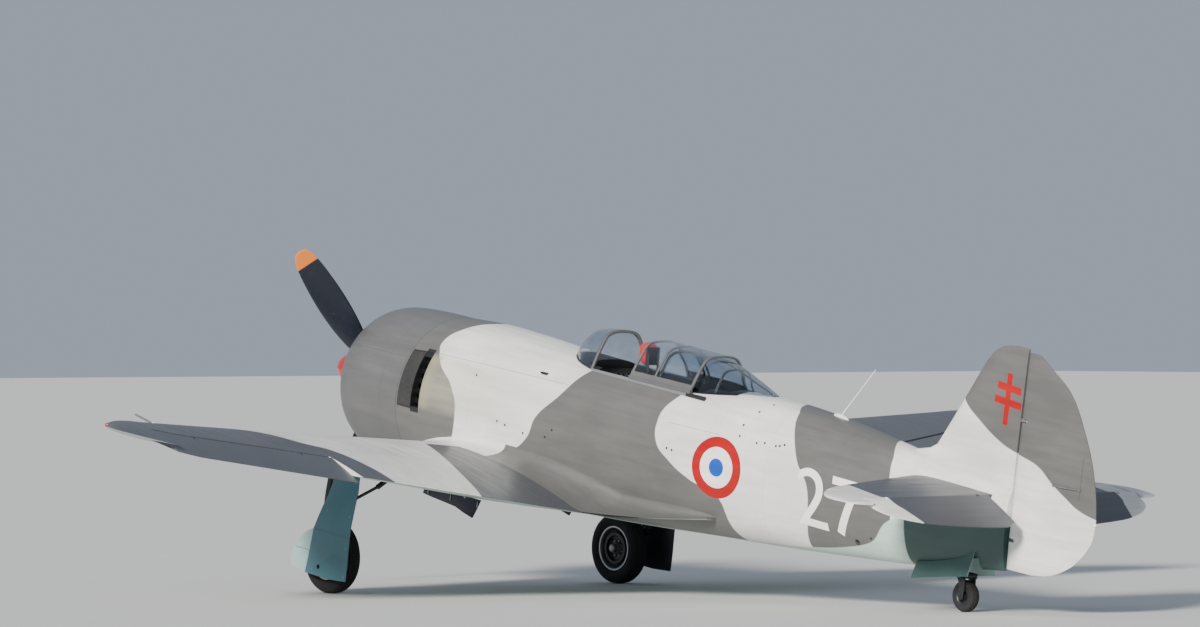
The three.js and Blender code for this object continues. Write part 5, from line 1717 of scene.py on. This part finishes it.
# %% Soft finishes
def hide(name, first, second, roughness):
    """Leather or vinyl: pebbled grain with creases and a polished wear."""
    mix = Recipe(name, roughness, 0.0, Sheen_Weight=0.15)
    spot = mix.place()
    pebble = mix.node("TexVoronoi", {"Vector": spot, "Scale": 330.0}).outputs["Distance"]
    crease = mix.noise(spot, 22.0, 6.0, 0.6)
    wear = mix.spread(crease, 0.35, 0.68)
    mix.bump(mix.math("MULTIPLY_ADD", pebble, 0.5, crease), 0.35, 0.0012)
    rough = mix.spread(crease, 0.3, 0.7, roughness - 0.12, roughness + 0.1)
    return mix.finish(mix.blend(wear, first, second), rough)


def webbing():
    mix = Recipe("harness_webbing", 0.8, 0.0, Sheen_Weight=0.3)
    spot = mix.place()
    weft = mix.node("TexWave", {"Vector": spot, "Scale": 260.0, "Distortion": 1.2},
                    bands_direction="Y").outputs["Fac"]
    warp = mix.node("TexWave", {"Vector": spot, "Scale": 200.0, "Distortion": 1.0},
                    bands_direction="Z").outputs["Fac"]
    weave = mix.times(weft, warp)
    mix.bump(weave, 0.5, 0.0008)
    tone = mix.math("MULTIPLY_ADD", mix.noise(spot, 18.0, 5.0), 0.6, mix.times(weave, 0.4))
    return mix.finish(mix.blend(tone, (0.055, 0.060, 0.040, 1), (0.16, 0.165, 0.12, 1)))


red_hide = hide("headrest_leather", (0.62, 0.008, 0.012, 1), (0.46, 0.006, 0.010, 1), 0.42)
dark_hide = hide("seat_leather", (0.030, 0.026, 0.022, 1), (0.060, 0.050, 0.042, 1), 0.5)
web = webbing()
shadow = grained("cockpit_black", (0.010, 0.010, 0.011, 1), (0.022, 0.022, 0.023, 1), 120, 0.7)
print("leather, webbing and cockpit black ready")

# %% Padded pieces
PRESSURE, CLOTH_FRAMES = 4.0, 20


def pad(name, shape, material, most, replaces=()):
    """A stuffed piece: blown up by a cloth step, but by most millimetres at most, then rounded."""
    bm = bmesh.new()
    shape(bm)
    made = piece(bm, name, material, "airframe", replaces, sharp=180)
    remesh = made.modifiers.new("voxels", "REMESH")
    remesh.mode = "VOXEL"
    remesh.voxel_size = 0.006
    settle(made)
    start = [vert.co.copy() for vert in made.data.vertices]
    cloth = made.modifiers.new("stuffing", "CLOTH")
    cloth.settings.use_pressure = True
    cloth.settings.uniform_pressure_force = PRESSURE
    cloth.settings.effector_weights.gravity = 0
    cloth.point_cache.frame_end = CLOTH_FRAMES
    for step in range(1, CLOTH_FRAMES + 1):
        bpy.context.scene.frame_set(step)
    settle(made)
    for vert, old in zip(made.data.vertices, start):
        move = vert.co - old
        if move.length > most / 1000:
            vert.co = old + move.normalized() * (most / 1000)
    bpy.context.scene.frame_set(1)
    bm = bmesh.new()
    bm.from_mesh(made.data)
    for _ in range(3):
        bmesh.ops.smooth_vert(bm, verts=bm.verts, factor=0.5, use_axis_x=True, use_axis_y=True,
                              use_axis_z=True)
    bm.to_mesh(made.data)
    bm.free()
    round_off = made.modifiers.new("round_off", "SUBSURF")
    round_off.levels = round_off.render_levels = 1
    settle(made)
    made.data.shade_smooth()
    return made


HEADREST = [(3604, 40, 52), (3612, 58, 72), (3650, 70, 84), (3686, 69, 83), (3698, 58, 72)]


def headrest_shape(bm):
    rings = [look_up(HEADREST, 3604 + 94 * i / 12) for i in range(13)]

    def place(u, k):
        index = round(u * 12)
        wide, tall = rings[index]
        c, d = cos(tau * k / 32), sin(tau * k / 32)
        return at(3604 + 94 * index / 12, wide * power(c, 0.7), 682 + tall * power(d, 0.7))

    skin(bm, 12, 32, place)


pads = [
    pad("headrest_pad", headrest_shape, red_hide, 6, ("headrest",)),
    pad("seat_cushion", lambda bm: block(bm, (3446, -186, -16), (3690, 186, 30), 14), dark_hide, 12),
    pad("back_cushion", lambda bm: block(bm, (3662, -182, 44), (3696, 182, 400), 12), dark_hide, 10),
]
print("padded pieces:", [len(o.data.polygons) for o in pads])

# %% Straps and buckle
def strap(bm, path, width, thick, across):
    """Flat webbing along a path; across is its width direction."""
    sizes = []
    for point, ahead in zip(path, headings(path)):
        side = (across - ahead * across.dot(ahead)).normalized()
        sizes.append((point, side * width / 2000, side.cross(ahead) * thick / 2000))

    def place(u, k):
        point, wide, deep = sizes[round(u * (len(path) - 1))]
        turn = tau * (k + 0.5) / 8
        return point + wide * power(cos(turn), 0.35) + deep * power(sin(turn), 0.35)

    skin(bm, len(path) - 1, 8, place)


bm = bmesh.new()
straps = bmesh.new()
for side in (1, -1):
    shoulder = [at(3728, side * 60, 470), at(3706, side * 60, 452), at(3650, side * 70, 400),
                at(3641, side * 84, 300),
                at(3640, side * 92, 190), at(3634, side * 84, 100), at(3612, side * 52, 62),
                at(3560, side * 24, 54)]
    strap(straps, smooth_points(shoulder, 6), 44, 3, ACROSS)
    lap = [at(3700, side * 204, -10), at(3672, side * 192, 30), at(3630, side * 130, 58),
           at(3590, side * 70, 58),
           at(3560, side * 26, 56)]
    strap(straps, smooth_points(lap, 6), 44, 3, at(1, 0, 0) - at(0, 0, 0.4))
    side_block(bm, side, (3628, 65, 176), (3640, 119, 214), 2)
turned(bm, [(0, 0), (0, 34), (6, 36), (14, 34), (18, 22), (18, 0)], 36, at(3552, 0, 48),
       at(3552, 0, 80))
piece(straps, "harness_straps", web)
piece(bm, "harness_buckle", bare)
print("harness laid over the pads")

# %% Seat bucket
bm = bmesh.new()
block(bm, (3430, -210, -60), (3740, 210, -22), 10)
block(bm, (3702, -210, -60), (3740, 210, 420), 10)
mount = bmesh.new()
plate(mount, [(3700, 600), (3712, 600), (3712, 740), (3700, 740)], -62, 62, 2)
for y in (-48, 48):
    rod(mount, [at(3722, y, 390), at(3722, y, 560), at(3714, y, 690)], 9, 20)
for side in (1, -1):
    plate(bm, [(3436, -50), (3738, -50), (3738, 240), (3700, 210), (3640, 90), (3560, 40), (3440, 4)],
          side * 203,
          side * 210, 2)
    for s in (3462, 3715):
        rod(bm, [at(s, side * 178, -299), at(s, side * 178, -56)], 11, 20)
    rod(bm, [at(3462, side * 178, -290), at(3715, side * 178, -100)], 7, 16)
    side_block(bm, side, (3450, 162, -299.6), (3730, 194, -288), 2)
piece(bm, "seat_bucket", primer, replaces=("seat",))
piece(mount, "headrest_mount", black)
print("seat bucket pressed")

# %% Dials
def dial_face():
    """Black dial with pale ticks round its rim and no lettering."""
    mix = Recipe("dial_face", 0.25, 0.0, Coat_Weight=1.0, Coat_Roughness=0.03)
    grain = mix.noise(mix.place(), 300.0, 3.0)
    return mix.finish(mix.blend(grain, (0.008, 0.008, 0.009, 1), (0.016, 0.016, 0.018, 1)))


DIALS = [(y, z, 41) for z in (440, 345) for y in (-165, -62, 62,
                                                  165)] + [(y, 255, 34) for y in (-170, -85, 0, 85,
                                                                                  170)]
dial_black, dial_white = dial_face(), grained("dial_marks", (0.62, 0.64, 0.55, 1),
                                              (0.74, 0.76, 0.68, 1), 200, 0.5)
rims, faces, marks = bmesh.new(), bmesh.new(), bmesh.new()
for number, (y, z, radius) in enumerate(DIALS):
    low, high = at(3274.6, y, z), at(3374.6, y, z)
    turned(rims, [(0, radius - 6), (0, radius), (7, radius), (9, radius - 2), (9, radius - 4),
                  (5, radius - 6)], 32, low,
           high, closed=True)
    turned(faces, bar(0, 3, radius - 6.2), 32, low, high)
    for tick in range(12):
        turn = tau * tick / 12
        way = (cos(turn), sin(turn))
        strap(marks, [at(3277.9, y + way[0] * r, z + way[1] * r) for r in (radius - 14, radius - 9)],
              2.2, 0.6,
              Vector((0, way[1], -way[0])))
    lean = 0.7 + 1.9 * number
    strap(marks, [at(3278.3, y + cos(lean) * r, z + sin(lean) * r) for r in (-7, radius - 13)], 2.6,
          0.8,
          Vector((0, sin(lean), -cos(lean))))
    for corner in range(4):
        turn = tau * (corner + 0.5) / 4
        spot = (y + cos(turn) * (radius + 4), z + sin(turn) * (radius + 4))
        turned(rims, [(0, 0), (0, 3), (2, 2), (2, 0)], 8, at(3274.6, *spot), at(3374.6, *spot))
piece(rims, "dial_rims", black)
piece(faces, "dial_faces", dial_black)
piece(marks, "dial_marks", dial_white)
print("dials:", len(DIALS))

# %% Stick, pedals and side shelves
bm = bmesh.new()
rod(bm, [at(3350, 0, -285), at(3356, 0, -160), at(3366, 0, 60), at(3368, 0, 100)], [14, 13, 12, 13], 24)
turned(bm, [(0, 0), (0, 15), (6, 18.5), (30, 16), (60, 18.6), (84, 16.5), (100, 19), (110, 14),
            (112, 0)], 28,
       at(3368, 0, 98), at(3380, 0, 210))
turned(bm, [(0, 0), (0, 48), (8, 46), (14, 34), (22, 36), (30, 25), (38, 27), (46, 17), (52, 0)], 32,
       at(3350, 0, -299),
       at(3352, 0, -200))
block(bm, (3312, -48, -299.6), (3398, 48, -288), 3)
piece(bm, "stick_and_boot", shadow, replaces=("control_stick",))
bm = bmesh.new()
for side in (1, -1):
    side_block(bm, side, (2992, 95, -150), (3004, 205, -60), 3)
    rod(bm, [at(2998, side * 150, -296), at(2998, side * 150, -64)], 9, 16)
    side_block(bm, side, (2970, 125, -299.6), (3030, 175, -284), 3)
    side_block(bm, side, (3330, 262, 120), (3960, 328, 160), 5)
    for s in (3400, 3880):
        plate(bm, [(s, -299), (s + 20, -299), (s + 20, 122), (s, 122)], side * 316, side * 328, 1)
rod(bm, [at(3480, 290, 158), at(3460, 288, 220), at(3456, 282, 250)], [4, 4, 4], 12)
turned(bm, [(0, 0), (0, 9), (4, 13), (18, 13), (22, 9), (22, 0)], 20, at(3458, 282, 246),
       at(3452, 280, 290))
rod(bm, [at(3540, 290, 158), at(3560, 288, 214)], [3.5, 3.5], 12)
turned(bm, [(0, 0), (0, 7), (3, 10), (12, 10), (15, 7), (15, 0)], 20, at(3559, 288, 211),
       at(3566, 287, 240))
for s in range(3600, 3900, 44):
    turned(bm, [(0, 0), (0, 6), (3, 6), (4, 2.5), (16, 2), (16, 0)], 12, at(s, -294, 159),
           at(s, -294, 260))
piece(bm, "cockpit_fittings", shadow)
print("stick, pedals, throttle and switches")

# %% [markdown]
# ## Markings and small fittings
# What is left are things that catch the eye up close: the number on the flank, the bare strip
# ahead of the exhaust slot, lamps, fasteners and the trim tab's rod. The number, the strip and
# the fasteners sit on the skin formula.

# %% Patches and points on the hull
def flank(s, z, side, grow=0.0):
    """The point of the hull's side at s and z."""
    return at(s, side * hull_side(s, z, grow), z)


def outward(s, z, side):
    point = flank(s, z, side)
    along = flank(s + 5, z, side) - flank(s - 5, z, side)
    up = flank(s, z + 5, side) - flank(s, z - 5, side)
    normal = along.cross(up).normalized()
    return point, normal if normal.y * side > 0 else -normal


def patch(bm, s0, s1, turns, low, high, side):
    """A thin strip of sheet over the hull, between two angles."""
    around = 24

    def place(u, k):
        rise = low if k > around else high
        step = k if k <= around else 2 * around + 1 - k
        turn = radians(turns[0] + (turns[1] - turns[0]) * step / around)
        point = hull(s0 + (s1 - s0) * u, turn, rise)
        return Vector((point.x, point.y * side, point.z))

    skin(bm, 4, 2 * around + 2, place)


# %% Finishes for fittings
gill_metal = grained("gill_metal", (0.072, 0.070, 0.068, 1), (0.105, 0.102, 0.099, 1), 40, 0.4, 0.75)
burnt = grained("burnt_steel", (0.004, 0.0036, 0.0033, 1), (0.012, 0.010, 0.009, 1), 60, 0.6, 0.6)
number_white = grained("number_white", (0.88, 0.87, 0.84, 1), (0.94, 0.93, 0.90, 1), 25, 0.42)
red_lens = grained("red_lens", (0.42, 0.004, 0.006, 1), (0.50, 0.006, 0.008, 1), 60, 0.12,
                   Coat_Weight=1.0)
green_lens = grained("green_lens", (0.004, 0.22, 0.06, 1), (0.006, 0.28, 0.08, 1), 60, 0.12,
                     Coat_Weight=1.0)
print("finishes for fittings:", 5)

# %% Gill strips and exhaust stubs
bm = bmesh.new()
pipes = bmesh.new()
seal = bmesh.new()
for side in (1, -1):
    patch(bm, 1530, 1674, (-4, 36), 0.2, 2.6, side)
    patch(seal, 1523, 1675, (-5.2, 37.2), 0.1, 1.3, side)
    for turn in (2, 10, 18, 26, 34):
        for s in (1542, 1662):
            point = hull(s, radians(turn), 2.4)
            spot = Vector((point.x, point.y * side, point.z))
            out = (spot - at(s, 0, 0)).normalized()
            turned(bm, [(0, 0), (0, 5), (1.6, 4.2), (2, 0)], 12, spot, spot + out)
    for turn in (0, 8, 16, 24, 32):
        way = Vector((0, side * cos(radians(turn)), sin(radians(turn))))
        base = Vector((0, 520 * way.y, 520 * way.z))
        start, end = at(1560, base.y, base.z), at(1752, base.y * 1.075, base.z * 1.075)
        rod(pipes, [start, start.lerp(end, 0.5), end], [26, 26, 24], 20)
piece(bm, "gill_strips", gill_metal)
piece(seal, "gill_seals", black)
piece(pipes, "exhaust_stubs", burnt)
print("gill strips and exhaust stubs")

# %% Numbers on the flank
NUMBER_S, NUMBER_WIDE, NUMBER_Z, NUMBER_TALL = 5770, 610, -215, 420


def number(name, text, side):
    """Plain numerals bent over the hull as a thin layer of paint."""
    font = bpy.data.curves.new(name, "FONT")
    font.body = text
    font.size = 1
    letters = bpy.data.objects.new(name, font)
    bpy.context.collection.objects.link(letters)
    mesh = bpy.data.meshes.new_from_object(letters.evaluated_get(bpy.context.evaluated_depsgraph_get()))
    bpy.data.objects.remove(letters)
    bm = bmesh.new()
    bm.from_mesh(mesh)
    bpy.data.meshes.remove(mesh)
    xs, ys = [vert.co.x for vert in bm.verts], [vert.co.y for vert in bm.verts]
    for cut in range(1, 10):
        for axis, line in ((0, xs), (1, ys)):
            spot = [0, 0, 0]
            spot[axis] = min(line) + (max(line) - min(line)) * cut / 10
            bmesh.ops.bisect_plane(bm, geom=bm.verts[:] + bm.edges[:] + bm.faces[:], plane_co=spot,
                                   plane_no=[float(axis == 0), float(axis == 1), 0])
    grown = bmesh.ops.extrude_face_region(bm, geom=bm.faces[:])["geom"]
    raised = {item for item in grown if isinstance(item, bmesh.types.BMVert)}
    for vert in bm.verts:
        u = (vert.co.x - min(xs)) / (max(xs) - min(xs))
        v = (vert.co.y - min(ys)) / (max(ys) - min(ys))
        along = u if side > 0 else 1 - u
        s = NUMBER_S + NUMBER_WIDE * along + 30 * (1 - v) * side
        z = NUMBER_Z + NUMBER_TALL * v - 30 * (along - 0.5)
        vert.co = flank(s, z, side, 1.4 if vert in raised else 0.1)
    piece(bm, name, number_white, sharp=60)


number("number_left", "27", 1)
number("number_right", "27", -1)
print("plain numbers painted on both flanks")

# %% Fasteners and caps
bm = bmesh.new()
TURN_LOCKS = [(5207, 507), (5254, 565), (5144, 402), (5151, 323), (5329, 302), (5548, 318), (3240, 40),
              (3174, -24), (2645, 7),
         (2735, -8), (2935, -35), (5403, 315), (5512, 312), (5588, 332), (4463, 116), (4517, 111),
         (6460, -190), (2310, 300), (2310, -300)]
for side in (1, -1):
    for s, z in TURN_LOCKS:
        if z < look_up(HULL, s)[0] - 20:
            spot, way = outward(s, z, side)
            turned(bm, [(-1, 0), (-1, 9), (1.2, 9), (2, 7.5), (1.4, 6.5), (1.4, 0)], 20, spot,
                   spot + way)
piece(bm, "turn_locks", black)
print("turn-lock fasteners:", 2 * len(TURN_LOCKS))

# %% Lamps, aerial and pitot
def lamp(name, material, spot, way, radius, length, body="airframe"):
    bm = bmesh.new()
    turned(bm, [(0, 0), (0, radius), (length * 0.35, radius), (length * 0.62, radius * 0.86),
                (length * 0.85, radius * 0.52), (length, 0)], 24, spot, spot + way)
    piece(bm, name, material, body)


for (name, side), tint in zip(SIDES, (red_lens, green_lens)):
    lamp("tip_light_" + name, tint, at(2990, side * 4398, 74), Vector((0.35, 0.9 * side, 0.25)), 17, 30)
rear_edge = max(drawn(*vert.co)[0] for vert in rudder.data.vertices if abs(drawn(*vert.co)[2] - 261) < 30)
lamp("tail_light", white, at(rear_edge - 16, 0, 261), at(100, 0, 0) - at(0, 0, 0), 15, 28, "rudder")
bm = bmesh.new()
base = [(5730, 0), (5740, 13), (5775, 19), (5830, 18), (5870, 11), (5886, 0)]


def fairing_place(u, k):
    s, wide = look_up([[i, *row] for i, row in enumerate(base)], u * 5)
    turn = tau * k / 16
    crown = look_up(HULL, s)[0]
    return at(s, max(wide, 0.3) * cos(turn), crown - 12 + (12 + max(wide, 0.3) * 1.1) * max(sin(turn),
                                                                                            0))


skin(bm, 20, 16, fairing_place)
whip = [at(5800, 0, 568), at(5840, 0, 620), at(5950, 0, 758), at(6110, 0, 960)]
rod(bm, smooth_points(whip, 6), [9 - 5.4 * i / 18 for i in range(19)], 14)
piece(bm, "whip_aerial", white, replaces=("antenna",))
print("lamps and whip aerial")

bm = bmesh.new()
nose, foot = Vector((2090, 3494, -10)), Vector((2530, 3494, -73.4))
sleeve = [(0.48, 11.4), (0.5, 15), (0.62, 17), (0.98, 21)]
rod(bm, [at(*nose.lerp(foot, share)) for share, _ in sleeve], [wide for _, wide in sleeve], 20)
piece(bm, "pitot_sleeve", white)
bm = bmesh.new()
for side in (1, -1):
    side_block(bm, side, (2950, 385, 421), (3010, 425, 431), 3)
piece(bm, "vent_scoops", black)
print("pitot sleeve and vents")

# %% Trim tab rod and hinge arms on the rudder
bm = bmesh.new()
for side in (1, -1):
    rod(bm, [at(8040, side * 30, 470), at(8130, side * 32, 470), at(8290, side * 20, 478)], 4.5, 10)
    for s, y, z in ((8040, 25, 470), (8290, 15, 478)):
        side_block(bm, side, (s - 9, 4, z - 6), (s + 9, y + 8, z + 6), 1.5)
piece(bm, "trim_rods", steel, "rudder")
print("trim tab rods")

# %% Engine front
CYLINDERS, FIN_PITCH = 18, 13


def finned(bm, s, turn, inner, outer):
    """One cylinder with cooling fins, as a lathe profile along its own axis."""
    profile = [(0, 0), (0, 52)]
    last = outer - inner
    for index in range(int((last - 70) / FIN_PITCH)):
        place = 20 + index * FIN_PITCH
        profile += [(place, 52), (place + 1.5, 69), (place + 4.5, 69), (place + 6, 52)]
    profile += [(last - 48, 58), (last - 40, 66), (last - 12, 62), (last, 44), (last, 0)]
    base = at(s, sin(turn) * inner, cos(turn) * inner)
    turned(bm, profile, 20, base, base + (base - at(s, 0, 0)).normalized())


bm = bmesh.new()
for index in range(CYLINDERS):
    finned(bm, 900 if index % 2 == 0 else 1140, pi * index / 9, 200, 530)
turned(bm, [(640, 0), (640, 62), (648, 92), (662, 96), (700, 148), (716, 156), (740, 160), (796, 226),
            (804, 240), (822, 240), (830, 232), (1290, 246), (1376, 328), (1384, 334), (1418, 334),
            (1430, 242), (1796, 240),
            (1798, 0)], 72, *THRUST_LINE)
for index in range(CYLINDERS):
    turn = pi * (index + 0.5) / 9
    spot = at(800, sin(turn) * 231, cos(turn) * 231)
    turned(bm, [(-4, 0), (-4, 8), (10, 8), (12, 5), (12, 0)], 6, spot,
           spot - (at(100, 0, 0) - at(0, 0, 0)))
piece(bm, "radial_engine", castings, replaces=("engine",), sharp=30)
bm = bmesh.new()
for index in range(9):
    turn = tau * index / 9
    for lean in (-0.075, 0.075):
        low = (720, sin(turn + lean * 0.6) * 175, cos(turn + lean * 0.6) * 175)
        high = (838, sin(turn + lean) * 478, cos(turn + lean) * 478)
        rod(bm, [at(*low), at(*high)], 9, 12)
        turned(bm, [(-26, 0), (-26, 18), (-16, 24), (16, 24), (26, 16), (26, 0)], 16, at(*high),
               at(high[0] + 100, *high[1:]))
piece(bm, "push_rod_tubes", black)
print("radial engine behind the cowl's mouth")

# %% [markdown]
# ## Floor
# A plain pale studio floor carries the shadow. It is staging, not part of the aircraft.

# %% Floor
def studio_floor():
    bm = bmesh.new()
    bmesh.ops.create_grid(bm, x_segments=1, y_segments=1, size=150)
    mesh = bpy.data.meshes.new("studio_floor")
    bm.to_mesh(mesh)
    bm.free()
    floor = bpy.data.objects.new("studio_floor", mesh)
    bpy.context.collection.objects.link(floor)
    mix = Recipe("studio_floor", 0.85)
    speck = mix.noise(mix.place(), 1.5, 6.0)
    floor.data.materials.append(mix.finish(mix.blend(speck, (0.60, 0.60, 0.59, 1),
                                                     (0.63, 0.63, 0.62, 1))))


studio_floor()
print("floor laid")
